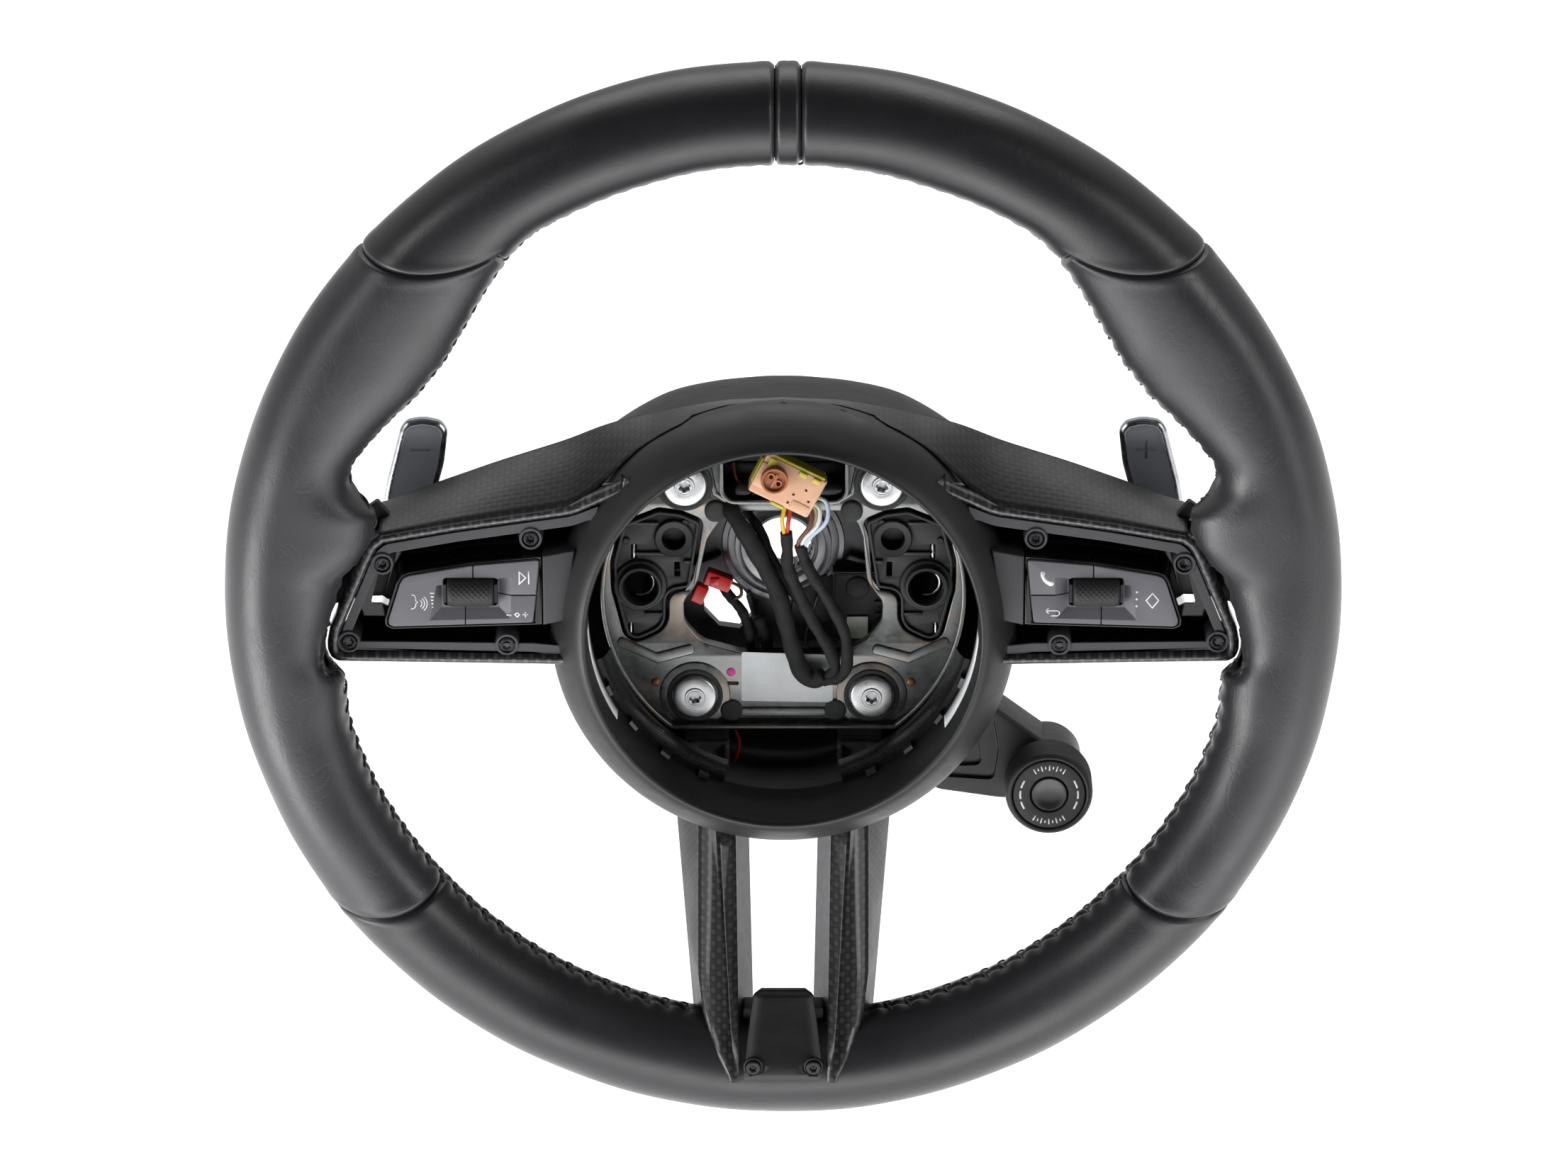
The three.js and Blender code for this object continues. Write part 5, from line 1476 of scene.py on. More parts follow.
# rows from the back round the edge to the dished front face: (distance inwards, depth)
BLADE_SECTION = [(1.0, 48.0), (0.35, 47.8), (0.0, 47.2), (0.0, 45.6), (0.05, 45.1), (0.3, 44.75),
                 (1.5, 44.05), (1.9, 44.0), (2.4, 44.12), (3.6, 44.3)]
# strips between rows that form the bright bevel
BRIGHT_STRIPS = (4, 5, 6)
MARK_X, MARK_Z = 123.3, 37.2
# (radius, distance along the pivot)
PIVOT = [(1.8, 0), (3.2, 0), (3.4, .3), (3.4, 20.7), (3.2, 21.0), (1.8, 21.0)]


def shift_paddle(sign, side):
    """Blade with a minus or plus cut into it, its arm and its pivot tube."""
    body = f"paddle_{side}"
    outline = resample(ccw(BLADE), 220)
    count, rows = len(outline), len(BLADE_SECTION)
    points = [(sign * x, depth, z) for amount, depth in BLADE_SECTION
              for x, z in inset(outline, amount)]
    faces = grid_faces(rows, count)
    slots = [int(i in BRIGHT_STRIPS) for i in range(rows - 1) for _ in range(count)]
    for first in (0, (rows - 1) * count):
        flat = [Vector((p[0], p[2], 0)) for p in points[first:first + count]]
        triangles = tessellate_polygon([flat])
        faces += [[first + i for i in triangle] for triangle in triangles]
        slots += [0] * len(triangles)
    blade = make(f"shift_blade_{side}", (points, faces), GUNMETAL, body,
                 replaces=body, sharp=28, second_material=CHROME_EDGE, face_slots=slots)
    bars = [(3.3, 0.45)] + ([(0.45, 3.3)] if sign > 0 else [])
    x, z = sign * MARK_X, MARK_Z
    subtract(blade, [slab(round_rect(x - a, x + a, z - b, z + b, 0.3), 43, 44.75)
                     for a, b in bars])
    arm = [plate(round_rect(sign * 90, sign * 120.5, -5.6, 13.6, 0.6), 44.6, 47.4, 0.4, 0.4)]
    arm += [brick(sign * 96, sign * 118, 47.2, 48.0, low, low + 1.2, 0.3, 0.1, 0.3)
            for low in (-3.2, 2.6, 8.4)]
    make(f"shift_arm_{side}", join(arm), MATTE, body=body)
    # turned about the depth axis, then stood upright along z
    pivot = moved(turned(PIVOT, 0, 0, 30), lambda x, d, z: (sign * 90 + x, 46 + z, -6.5 + d))
    make(f"shift_pivot_{side}", pivot, MATTE, body=body, sharp=40)


for sign, side in SIDES:
    shift_paddle(sign, side)

# ------------------------------------------------------------------ mode switch
KNOB_X, KNOB_Z, KNOB_DEPTH = 91.0, -79.5, 20.0
KNURL_CELLS = 74
# front lip of the ring, then its back edge: (radius, depth)
KNOB_LIP = [(12.75, KNOB_DEPTH + 14.2), (12.75, KNOB_DEPTH + 0.35), (12.95, KNOB_DEPTH + 0.0),
            (13.35, KNOB_DEPTH - 0.18), (13.75, KNOB_DEPTH - 0.1), (14.3, KNOB_DEPTH + 0.65),
            (14.75, KNOB_DEPTH + 1.3)]
KNOB_BACK = (14.6, KNOB_DEPTH + 14.2)
# (radius, depth)
KNOB_DISC = [(0, 24.9), (6.5, 24.9), (6.5, 20.55), (6.75, 20.15), (7.3, 20.0), (11.6, 20.0),
             (12.1, 20.1), (12.4, 20.5), (12.4, 34.8), (0, 34.8)]
KNOB_NECK = [(0, 34.65), (11.2, 34.65), (11.9, 35.2), (12, 36.4), (12, 57.2), (11.4, 59.4),
             (10, 60), (0, 60)]
KNOB_BUTTON = [(0, 20.55), (2.0, 20.5), (4.0, 20.3), (5.2, 20.02), (5.8, 20.0), (6.1, 20.25),
               (6.2, 20.7), (6.2, 23.6), (0, 23.6)]
# (x, z) outlines of the stalk, a shallow and a deeper recess in its front, and the hub's inside
STALK = [[53.5, -46], [66, -50.5], [74, -55.5], [90, -67.5], [92, -89], [74, -88.3], [52, -85],
         [44, -72]]
RECESS = [[44, -55.5], [56, -50.3], [64.6, -53.4], [72.5, -59.5], [74.2, -70], [72.6, -81.4],
          [56, -80.2], [46, -74]]
DEEP_RECESS = [(48, -57), (58, -54.8), (66, -60), (68.4, -76.5), (56, -77), (48, -71)]
HUB_INSIDE = [(48, 32), (51, -8), (48, -40), (40, -60), (33, -66), (-33, -66), (-40, -60),
              (-48, -40), (-51, -8), (-48, 32)]


def knurled_ring():
    angles = np.linspace(0, 2 * math.pi, 300, endpoint=False)
    turns = angles / (2 * math.pi) * KNURL_CELLS
    depths = np.concatenate([[KNOB_DEPTH + 1.7, KNOB_DEPTH + 1.9],
                             np.linspace(KNOB_DEPTH + 2.2, KNOB_DEPTH + 13.4, 52),
                             [KNOB_DEPTH + 13.7, KNOB_DEPTH + 14.0]])
    rows = list(KNOB_LIP)
    for depth in depths:
        fade = min(1.0, min(depth - KNOB_DEPTH - 1.6, KNOB_DEPTH + 14.1 - depth) / 0.5)
        wave = knurl(turns + depth / 1.26, turns - depth / 1.26)
        rows.append((14.78 + 0.24 * fade * np.clip(wave * 2.2, 0, 1), depth))
    rows.append(KNOB_BACK)
    return hoop([np.stack([KNOB_X + radius * np.cos(angles), np.full(len(angles), depth),
                           KNOB_Z + radius * np.sin(angles)], -1) for radius, depth in rows])


def mode_scale():
    """Printed scale: three dashes on each side, ticks above and below."""
    front, back = 19.93, 20.1
    parts = []
    for base in (0, 180):
        for k in (-1, 0, 1):
            middle = base + k * 23
            line = arc(KNOB_X, KNOB_Z, 9.9, middle - 8.5, middle + 8.5, 8)
            parts.append(ribbon(line, 0.62, front, back, flat=True))
    for k in range(-4, 5):
        for base in (90, -90):
            a = math.radians(base + k * 7.6)
            line = [(KNOB_X + radius * math.cos(a), KNOB_Z + radius * math.sin(a))
                    for radius in ((8.9, 10.9) if k % 2 == 0 else (9.5, 10.5))]
            parts.append(ribbon(line, 0.42, front, back, flat=True))
    return join(parts)


make("mode_ring", knurled_ring(), MATTE, body="mode_knob", replaces="mode_knob", sharp=50)
make("mode_face", spun(KNOB_DISC, KNOB_X, KNOB_Z, 96), MATTE, sharp=40)
stalk = make("mode_stalk_body",
             join([plate(rounded(STALK, [3, 8, 10, 2, 2, 10, 6, 3], 6), 38, 57.5, 1.6, 1.2, 5),
                   spun(KNOB_NECK, KNOB_X, KNOB_Z, 72)]),
             SATIN, replaces="mode_stalk", sharp=35)
subtract(stalk, [plate(rounded(RECESS, 2.5, 4), 30, 39.6, 0, 0.8),
                 plate(rounded(DEEP_RECESS, 2, 4), 30, 41.2, 0, 0.6),
                 slab([(x * 1.02, z * 1.02) for x, z in HUB_INSIDE], 36, 70)])
make("mode_push", spun(KNOB_BUTTON, KNOB_X, KNOB_Z, 64), BUTTON, "mode_button",
     replaces="mode_button", sharp=40)
make("mode_scale", mode_scale(), WHITE_INK)


# ------------------------------------------------------------------ paddle brackets and webs
def paddle_mount(sign, side):
    """Moulded block with two lugs and stiffening ribs."""
    parts = [brick(sign * 83, sign * 97, 35.6, 40.6, -11, 19, 1.2, 0.6, 0.4)]
    parts += [brick(sign * 86.4, sign * 93.6, 40, 49.6, low, low + 4, 0.5, 0.3, 0.8)
              for low in (15, -11)]
    parts += [brick(sign * 83.6, sign * 85.4, 40.2, 43.4, low, low + 1.4, 0.3, 0.2, 0.3)
              for low in (-4, 2, 8)]
    mount = make(f"paddle_mount_{side}", join(parts), MATTE,
                 replaces=f"paddle_bracket_{side}", sharp=40)
    subtract(mount, [spoke_bar(sign, 0.3)])


for sign, side in SIDES:
    paddle_mount(sign, side)

# web behind the outer upper corner of each pad frame
CORNER_WEB = rounded([(133.9, 18.6), (137.6, 15.8), (140.2, 11.2), (146, 13), (144.6, 24),
                      (136.5, 30), (131.5, 24)], 0.8, 3)
for sign, side in SIDES:
    make(f"corner_web_{side}", plate(flip(CORNER_WEB, sign), 13.6, 17.0, 0.5, 0.3), MATTE)

# ------------------------------------------------------------------ hub: horn plate
PLATE_DEPTH, PLATE_RADIUS, PLATE_Z = 38.0, 62.4, -12.0
PLATE_LOW = -61
PLATE_SCREWS = [[-33.5, 27.3], [33.5, 27.3], [-30.3, -49.8], [30.3, -49.8]]
# (x, z) outlines of the right clip carrier and the middle window
CARRIER = [
    [28.2, 13.6], [35, 16.6], [42.4, 17.6], [54.6, 12.6], [58, -1], [57.6, -11.4], [52.9, -31],
    [40.1, -24.8], [40, -11.6], [31.8, -10.4],
]
WINDOW = rounded([
    [-20.5, 15.6], [-15.4, 17.4], [21.4, 17.4], [25.6, 12.6], [27.2, 8], [28.6, -8],
    [34.0, -15.7], [33.8, -22], [28.8, -30], [20.2, -34.4], [-14, -34.4], [-27.8, -30.6],
    [-33.9, -23.4], [-34.2, -15.7], [-29.2, -8.1], [-26.1, 7.1],
], [4, 3, 4, 4, 6, 8, 5, 5, 8, 8, 10, 9, 6, 6, 10, 8], 6)
# pressed ribs on the right: (outline, corner radius, steps, height, edge round)
PRESSED_RIBS = (
    ([(57.3, -31.5), (43, -38.2), (30, -34.5), (31.2, -30.8), (43.4, -34.2), (55.9, -28)],
     1.4, 4, 0.6, 0.55),
    ([(24.5, 34.5), (22.5, 24.4), (17.8, 20.6), (18.4, 19.4), (24, 23.4), (26.3, 34)],
     0.8, 3, 0.6, 0.5),
)


def plate_outline():
    """Round sheet cut straight below, with a notch in the top."""
    start = math.degrees(math.asin((PLATE_LOW - PLATE_Z) / PLATE_RADIUS))
    right = [(PLATE_RADIUS * math.cos(math.radians(a)),
              PLATE_Z + PLATE_RADIUS * math.sin(math.radians(a)))
             for a in np.linspace(start, 70.8, 60)]
    notch = rounded([(20.8, 47), (20.8, 22.6), (-20.2, 22.6), (-20.2, 47)], [0, 4, 4, 0], 6)
    points = right + notch + flip(right[::-1], -1)
    # only the two lower corners are rounded
    return rounded(points, [6] + [0] * (len(points) - 2) + [6], 7)


def pressed(outline, height, edge, holes=()):
    """Shape raised from the front of the sheet."""
    return plate(outline, PLATE_DEPTH - height, PLATE_DEPTH + (0.6 if holes else 0.4), edge, 0,
                 holes=holes)


def horn_sheet():
    outline = plate_outline()
    carrier = rounded(inset(CARRIER, -0.9), [3, 8, 8, 5, 8, 10, 3, 3, 2.5, 3])
    holes = [WINDOW, carrier, flip(carrier, -1)] + [circle(x, z, 4.0, 28) for x, z in PLATE_SCREWS]
    parts = [
        plate(outline, PLATE_DEPTH, PLATE_DEPTH + 2, 0.5, 0.3, holes=holes),
        # flange turned to the front all round, rolled lip of the middle window
        plate(outline, PLATE_DEPTH - 4.0, PLATE_DEPTH + 1, 0.5, 0, 4,
              holes=[inset(outline, 1.55)]),
        plate(inset(WINDOW, -1.6), PLATE_DEPTH + 0.2, PLATE_DEPTH + 5.4, 0, 0.4,
              holes=[inset(WINDOW, -0.02)]),
    ]
    parts += [pressed(circle(x, z, 12.2, 48), 0.55, 0.5, [circle(x, z, 4.2, 28)])
              for x, z in PLATE_SCREWS[2:]]
    for sign, _ in SIDES:
        for rib, corner, steps, height, edge in PRESSED_RIBS:
            parts.append(pressed(rounded(flip(rib, sign), corner, steps), height, edge))
    parts.append(pressed(round_rect(-15, 15, -57.8, -54.2, 1.7, 5), 0.6, 0.55))
    parts.append(pressed(round_rect(-17.5, 17.5, 19.2, 20.9, 0.8, 4), 0.5, 0.45))
    return join(parts)


make("horn_sheet", horn_sheet(), ZINC, "horn_plate", replaces="horn_plate",
     sharp=44)
# dark patches either side of the label: painted shade standing in for two small open slots
make("horn_sheet_slot_shade",
     join([slab(round_rect(x, x + 5.4, -46.2, -44.9, 0.6, 4), PLATE_DEPTH - 0.05,
                PLATE_DEPTH + 0.3) for x in (-20.6, 14.8)]),
     HUB_BLACK, body="horn_plate")
RIVET_HEAD = [(0, 37.25), (0.7, 37.3), (1.2, 37.5), (1.6, 37.95), (1.6, 38.4), (0, 38.4)]
make("horn_rivets", join([spun(RIVET_HEAD, x, -45.1, 24) for x in (-43.7, 43.7)]),
     RIVET, "horn_plate", sharp=60)
PAINT_DOT = [(0, 37.75), (1.1, 37.78), (1.55, 37.95), (1.55, 38.2), (0, 38.2)]
make("paint_mark", spun(PAINT_DOT, -17.9, -41.4, 20), PINK, "horn_plate")
PLATE_LABEL = [(-14.4, -51.8), (16.9, -52.3), (17.1, -35.2), (13.0, -34.7), (-14.3, -33.8)]
make("blank_label", plate(rounded(PLATE_LABEL, 0.7, 4), 37.25, 37.48, 0.05, 0), LABEL,
     "horn_plate")
STOP = [(0, 36.6), (2.6, 36.6), (3.4, 36.75), (3.75, 37.2), (3.8, 38.4), (0, 38.4)]
STOP_PLACES = ((-23.0, 17.4), (23.3, 17.4), (-17.8, -55.4), (17.9, -55.2))
make("rubber_stops", join([spun(STOP, x, z, 36) for x, z in STOP_PLACES]), RUBBER,
     body="horn_plate", sharp=60)

# ------------------------------------------------------------------ hub: clip carriers
SOCKET_X, SOCKET_Z = 37.3, 7.5
# (x, z, height) of the slots
CRADLE_SLOTS = ((50.9, -0.2, 5.2), (36.2, -6.4, 5.0), (52.1, -28.2, 4.6))
# (radius, depth)
SOCKET_RING = [(4.0, 37.6), (4.15, 37.2), (6.2, 37.0), (6.6, 37.4), (6.7, 39), (4.0, 39)]
COLLAR = [(5.55, 36.6), (5.9, 35.2), (6.4, 34.8), (7.2, 34.85), (7.5, 35.3), (7.6, 37.2),
          (8.8, 37.3), (9.15, 37.7), (9.2, 39.5), (7.2, 39.6), (7.2, 44.6), (5.55, 44.6)]
STUD = [(0, 37.6), (0.9, 37.6), (1.2, 37.9), (1.25, 39.2), (0, 39.2)]
# (x0, x1, z0, z1)
CRADLE_RIBS = ((40.5, 50.5, 1.5, 2.6), (53.2, 56.2, -6.5, -5.4), (41.3, 47.5, -20.6, -19.4),
               (42.4, 51.5, 12.4, 13.5), (31.2, 34.0, -1.5, -0.4))
# (x, depth, z) of the two spring wires
CLIP_WIRES = (
    [(50.9, 39.5, 5.4), (50.9, 39.0, 3.8), (50.9, 39.0, 0.6), (50.9, 39.5, -0.6)],
    [(52.1, 39.5, -23.2), (52.1, 39.0, -24.4), (52.1, 39.0, -27.6), (52.1, 39.5, -28.6)],
)


def clip_cradle(sign, side):
    """Moulded cradle with a round socket, a collar and ribs, and its spring wires."""
    outline = rounded(inset(CARRIER, 0.15), [2, 7, 7, 4, 7, 9, 2, 2, 1.5, 2])
    body = flip(outline, sign)
    holes = [circle(SOCKET_X, SOCKET_Z, 4.7, 32), circle(48.9, -9.8, 7.0, 40)]
    holes += [round_rect(x - .9, x + .9, z, z + height, 0.35, 2) for x, z, height in CRADLE_SLOTS]
    parts = [
        plate(body, 38.6, 43.4, 0.3, 0.3, holes=[flip(hole, sign) for hole in holes]),
        plate(body, 37.4, 39, 0.3, 0, holes=[flip(inset(outline, 1.1), sign)]),
        slab(circle(sign * SOCKET_X, SOCKET_Z, 4.9, 32), 42.3, 43.3),
        turned(SOCKET_RING, sign * SOCKET_X, SOCKET_Z, 44),
        turned(COLLAR, sign * 48.8, -9.6, 60),
    ]
    parts += [brick(sign * x0, sign * x1, 37.5, 39.2, z0, z1, 0.3, 0.25, 0)
              for x0, x1, z0, z1 in CRADLE_RIBS]
    parts += [spun(STUD, sign * x, z, 20) for x, z in ((33.5, 13.2), (53.5, 6.5), (43.5, -15.0))]
    make(f"clip_cradle_{side}", join(parts), HUB_BLACK, body="horn_plate",
         replaces=f"clip_carrier_{side}", sharp=40)
    hook = [(sign * 48.8 + 4.6 * math.cos(a), 40.8, -9.6 + 4.6 * math.sin(a))
            for a in np.linspace(-1.9, 1.2, 22)]
    wires = [tube(flip(wire, sign), 0.42, 10, 0.4) for wire in CLIP_WIRES]
    make(f"clip_wire_{side}", join(wires + [tube(hook, 0.5)]), STEEL,
         "horn_plate")


for sign, side in SIDES:
    clip_cradle(sign, side)

# ------------------------------------------------------------------ hub: springs and screws
SPRING_RADIUS, SPRING_TURNS, SPRING_FRONT, SPRING_LENGTH = 5, 3.4, 41.1, 5.8
for i, (x, z) in enumerate(PLATE_SCREWS, 1):
    coil = []
    for t in np.linspace(0, 1, 110):
        angle = 2 * math.pi * (SPRING_TURNS * t)
        coil.append((x + SPRING_RADIUS * math.cos(angle), SPRING_FRONT + SPRING_LENGTH * t,
                     z + SPRING_RADIUS * math.sin(angle)))
    make(f"return_spring_{i}", tube(coil, 0.5, 8), STEEL, "horn_plate",
         replaces=f"horn_spring_{i}")

# (radius, depth)
SCREW_WASHER = [(2.55, 34.9), (2.75, 34.6), (3.3, 34.6), (3.5, 34.85), (3.5, 35.15), (6.6, 35.0),
                (7.2, 35.25), (7.6, 35.9), (7.6, 37.3), (7.3, 37.6), (2.55, 37.6)]
SEAL = [(7.8, 37.3), (8.2, 36.9), (9.2, 36.9), (9.6, 37.3), (9.6, 38.0), (7.8, 38.0)]
for i, (x, z) in enumerate(PLATE_SCREWS, 1):
    screw = [
        turned(SCREW_WASHER, x, z),
        plate(circle(x, z, 2.7, 40), 34.75, 37.0, 0.12, 0, holes=[torx(x, z, 2.15, 0.4 * i)]),
        slab(circle(x, z, 2.68), 36.8, 49),
        plate(circle(x, z, 2.35, 20), 48.8, 56.2, 0, 0.5),
    ]
    make(f"shoulder_screw_{i}", join(screw), WASHER,
         replaces=f"plate_screw_{i}", sharp=36)
    make(f"seal_ring_{i}", turned(SEAL, x, z, 56), RUBBER, body="horn_plate")

# ------------------------------------------------------------------ hub: cast centre
# (radius, depth)
COLUMN_BOSS = [(10.6, 49.9), (10.9, 49.5), (11.6, 49.4), (12.2, 49.8), (14.4, 50.0), (14.8, 49.7),
               (16.4, 49.7), (16.6, 50.2), (16.7, 53.2), (18.6, 53.4), (19.2, 53.0), (20.8, 53.2),
               (21.1, 53.9), (21.1, 56), (10.6, 56)]
CAST_BOSS = [(2.8, 49.1), (5.6, 49.1), (6.3, 49.6), (6.9, 54.4), (2.8, 54.4)]
SPLINE_COUNT = 36
# one spline: (radius, angle from its middle)
SPLINE = ((10.62, -.04), (10.62, .04), (10.05, .018), (10.05, -.018))
# ribs on the right: (x, z) line and width
CAST_RIBS = (
    ([(22, -4), (34, -8), (46, -10)], 2.4), ([(16, 14), (28, 22), (33, 26)], 2.4),
    ([(12, -18), (8, -32), (7, -44)], 2.2), ([(31, -34), (38, -26), (44, -14)], 2.2),
    ([(30, -52), (26, -60)], 3.0),
)


def column_splines():
    parts = []
    for k in range(SPLINE_COUNT):
        middle = 2 * math.pi * k / SPLINE_COUNT
        parts.append(slab([(radius * math.cos(middle + a), radius * math.sin(middle + a))
                           for radius, a in SPLINE], 56.5, 65.6))
    return join(parts)


def casting_ribs():
    """Cast ribs and fixing bosses on the hub."""
    parts = []
    for sign, _ in SIDES:
        for line, width in CAST_RIBS:
            line, half = flip(line, sign), width * 0.35
            outline = [(x - half, z - half) for x, z in line]
            outline += [(x + half, z + half) for x, z in line[::-1]]
            parts.append(plate(outline, 50.4, 54.6, 0.6, 0))
        parts += [turned(CAST_BOSS, sign * x, z, 40)
                  for x, z in (PLATE_SCREWS[1], PLATE_SCREWS[3])]
    return join(parts)


make("column_boss_ring", turned(COLUMN_BOSS, 0, 0, 96), MACHINED, sharp=40)
make("column_splines", column_splines(), MACHINED)
make("hub_casting_ribs", casting_ribs(), CAST, sharp=40)

# dark wall behind the notch, with ribs, and a dark pad below the bore
BORE_PAD = [(3.5, -13.5), (18, -10.5), (20.5, -34.5), (1.5, -36.5)]
parts = [brick(-21, 21, 47.5, 50, 20.6, 42, 1.0, 0.6, 0.4),
         plate(rounded(BORE_PAD, 2, 4), 53.0, 55.2, 0.8, 0.4)]
parts += [brick(-19, 19, 46.6, 48, z, z + 1.3, 0.5, 0.5, 0) for z in (26, 30.5, 35)]
make("hub_inner_wall", join(parts), HUB_BLACK, sharp=40)

# shrouds where the lower arms leave the hub
shrouds, lugs = [], []
for sign, _ in SIDES:
    shrouds += [
        brick(sign * 18.6, sign * 36, 45.2, 49.6, -97.5, -70.2, 1.0, 0.8, 0.4),
        brick(sign * 18.6, sign * 20.4, 42.4, 47, -96, -71, 0.5, 0.4, 0),
        brick(sign * 29.2, sign * 32.4, 43.6, 46, -73.4, -70, 0.5, 0.4, 0),
    ]
    lugs.append(brick(sign * 18.7, sign * 34, 45.6, 49.4, -70.0, -64.5, 0.8, 0.7, 0.4))
make("leg_shrouds", join(shrouds), WALL, sharp=40)
make("leg_lugs", join(lugs), CAST, sharp=40)

# curved ledge inside the ring, with short ribs in front of it: (radius, depth)
LEDGE_SECTION = [(66.2, 26.0), (66.2, 27.4), (63.6, 29.2), (62.6, 32.6), (61.9, 34.0),
                 (61.2, 34.0), (61.8, 32.2), (62.8, 28.4), (64.4, 26.2)]
LEDGE_RIB = [(66.0, 21.5), (66.2, 26.6), (64.9, 26.8), (64.9, 22.2)]
parts = []
for start, end in ((196, 252), (288, 344)):
    parts.append(sector(LEDGE_SECTION, start, end))
    for k in range(4):
        middle = start + (end - start) * (k + 0.7) / 4.2
        parts.append(sector(LEDGE_RIB, middle - 1.6, middle + 1.6, 6))
make("inner_ledge", join(parts), LEDGE, sharp=40)

# blank curved stickers on the inner wall: (side, start angle, end angle, front, back)
for side, start, end, front, back in (("left", 181.5, 211.5, 12.5, 20.5),
                                      ("right", 326.0, 356.0, 11.0, 21.5)):
    sticker = [(66.32, front), (66.32, back), (66.12, back), (66.12, front)]
    make(f"wall_label_{side}", sector(sticker, start, end, 40), LABEL)
FOIL_PATCH = [(-46.5, -60.5), (-41.5, -63.5), (-40.4, -61.0), (-44.6, -57.5)]
make("foil_spots",
     join([spun([(0, 31.0), (2.1, 31.05), (2.2, 31.5), (0, 31.5)], -47.6, -60.6, 20),
           plate(rounded(FOIL_PATCH, 1.0, 4), 30.9, 31.4, 0.1, 0)]), FOIL)

# ------------------------------------------------------------------ electrics: main connector
# bricks in the connector's own axes, as the arguments of brick()
BLOCK_BRICKS = (
    (-11.3, 11.3, 24.9, 35.4, -7.3, 7.3, 0.9, 0.7, 0.5),
    (-11.4, -5.2, 24.3, 30, -4.4, 4.6, 0.8, 0.6, 0),
    (3.8, 10.4, 24.5, 30, -6.6, -3.2, 0.6, 0.5, 0),
)
LOCK_BRICKS = (
    (-10.8, 10.6, 25.4, 31.6, 6.9, 8.2, 0.5, 0.5, 0),
    (-11.9, -10.9, 25.6, 31, -4.0, 5.2, 0.4, 0.4, 0),
    (10.6, 11.6, 25.8, 31, -1.0, 7.4, 0.4, 0.4, 0),
    (1.4, 4.4, 24.5, 26, 5.3, 6.9, 0.4, 0.3, 0),
    (6.6, 9.6, 24.5, 26, 5.3, 6.9, 0.4, 0.3, 0),
    (-2.6, 2.4, 24.6, 27, -8.1, -7.0, 0.4, 0.3, 0),
    (-9.6, -7.0, 24.4, 27, 3.9, 6.9, 0.4, 0.3, 0),
)
BLOCK_HOLES = ((3.2, -1.6), (6.4, 1.6), (8.9, -1.7), (2.8, -5.0))
CONNECTOR_TILT = math.radians(27)
PLUG_X, PLUG_Z = -3.0, 34.0
PLUG_PINS = ((-4.1, 35.3), (-1.7, 32.8))
# (radius, depth)
PLUG_WALL = [(3.75, 25.4), (3.75, 21.9), (3.95, 21.6), (4.4, 21.6), (4.6, 21.9), (4.6, 25.6)]
PLUG_PIN = [(0.8, 22.9), (0.8, 22.4), (1.25, 22.3), (1.35, 22.5), (1.35, 23.2)]


def tilted(part):
    """Part moved from the connector's own axes to its place."""
    return placed(part, 1.3, 0, 31, math.cos(CONNECTOR_TILT), math.sin(CONNECTOR_TILT))


block = make("harness_block", tilted(join([brick(*row) for row in BLOCK_BRICKS])), PEACH,
             replaces="wiring_harness", sharp=40)
subtract(block, [tilted(slab(round_rect(x - .45, x + .45, z - .45, z + .45), 20, 26.4))
                 for x, z in BLOCK_HOLES])
make("harness_locks", tilted(join([brick(*row) for row in LOCK_BRICKS])), LIME,
     sharp=40)
make("harness_orange_tab", tilted(brick(-11.6, -8.6, 25.2, 29, 6.6, 9.6, 0.5, 0.4, 0)), ORANGE,
     sharp=40)
parts = [turned(PLUG_WALL, PLUG_X, PLUG_Z, 48),
         plate(circle(PLUG_X, PLUG_Z, 3.9, 40), 23.0, 25.6, 0.1, 0,
               holes=[circle(x, z, 0.75, 16) for x, z in PLUG_PINS])]
parts += [turned(PLUG_PIN, x, z, 24) for x, z in PLUG_PINS]
parts.append(plate(rounded([(-4.6, 31.6), (-3.6, 31.6), (-1.4, 35.8), (-2.4, 36.4)], 0.4, 3),
                   22.3, 23.2, 0.2, 0))
make("harness_plug", join(parts), COPPER, sharp=40)

# ------------------------------------------------------------------ electrics: wires and looms
# colour, then the (x, depth, z) line
WIRES = {
    "red": ((0.55, 0.02, 0.015),
            [(2.2, 29.5, 24.5), (2.2, 28.4, 20.5), (1.6, 28.0, 16), (1.4, 29.0, 12.6)]),
    "yellow": ((0.75, 0.5, 0.02),
               [(0.6, 29.5, 25.2), (0.2, 27.6, 21.5), (-0.4, 27.2, 17.5), (0.4, 29.0, 12.2)]),
    "brown": ((0.13, 0.05, 0.025),
              [(7.2, 29.5, 23.0), (9.6, 28.2, 20.4), (8.8, 27.6, 15.6), (5.4, 28.4, 10.2),
               (4.9, 29.6, 7.0)]),
    "white": ((0.74, 0.74, 0.7),
              [(8.6, 29.5, 24.2), (12.2, 28.0, 21.8), (11.6, 27.2, 16.4), (7.4, 28.2, 11.2),
               (5.8, 29.6, 7.4)]),
    "blue": ((0.5, 0.58, 0.72),
             [(9.8, 29.5, 26.0), (14.6, 28.2, 24.0), (14.6, 27.2, 17.6), (9.2, 28.4, 11.4),
              (6.6, 29.8, 7.0)]),
    "cream": ((0.72, 0.66, 0.42),
              [(8.0, 30.2, 23.2), (10.9, 29.2, 20.8), (10.4, 28.6, 16.0), (6.6, 29.2, 11.0),
               (5.4, 30.2, 7.6)]),
}
for name, (color, line) in WIRES.items():
    material = paint(f"wire_{name}", color=color, rough=0.35, vary=0.06, strength=0.03)
    make(f"wire_{name}", tube(line, 0.72, 12, 0.5), material)

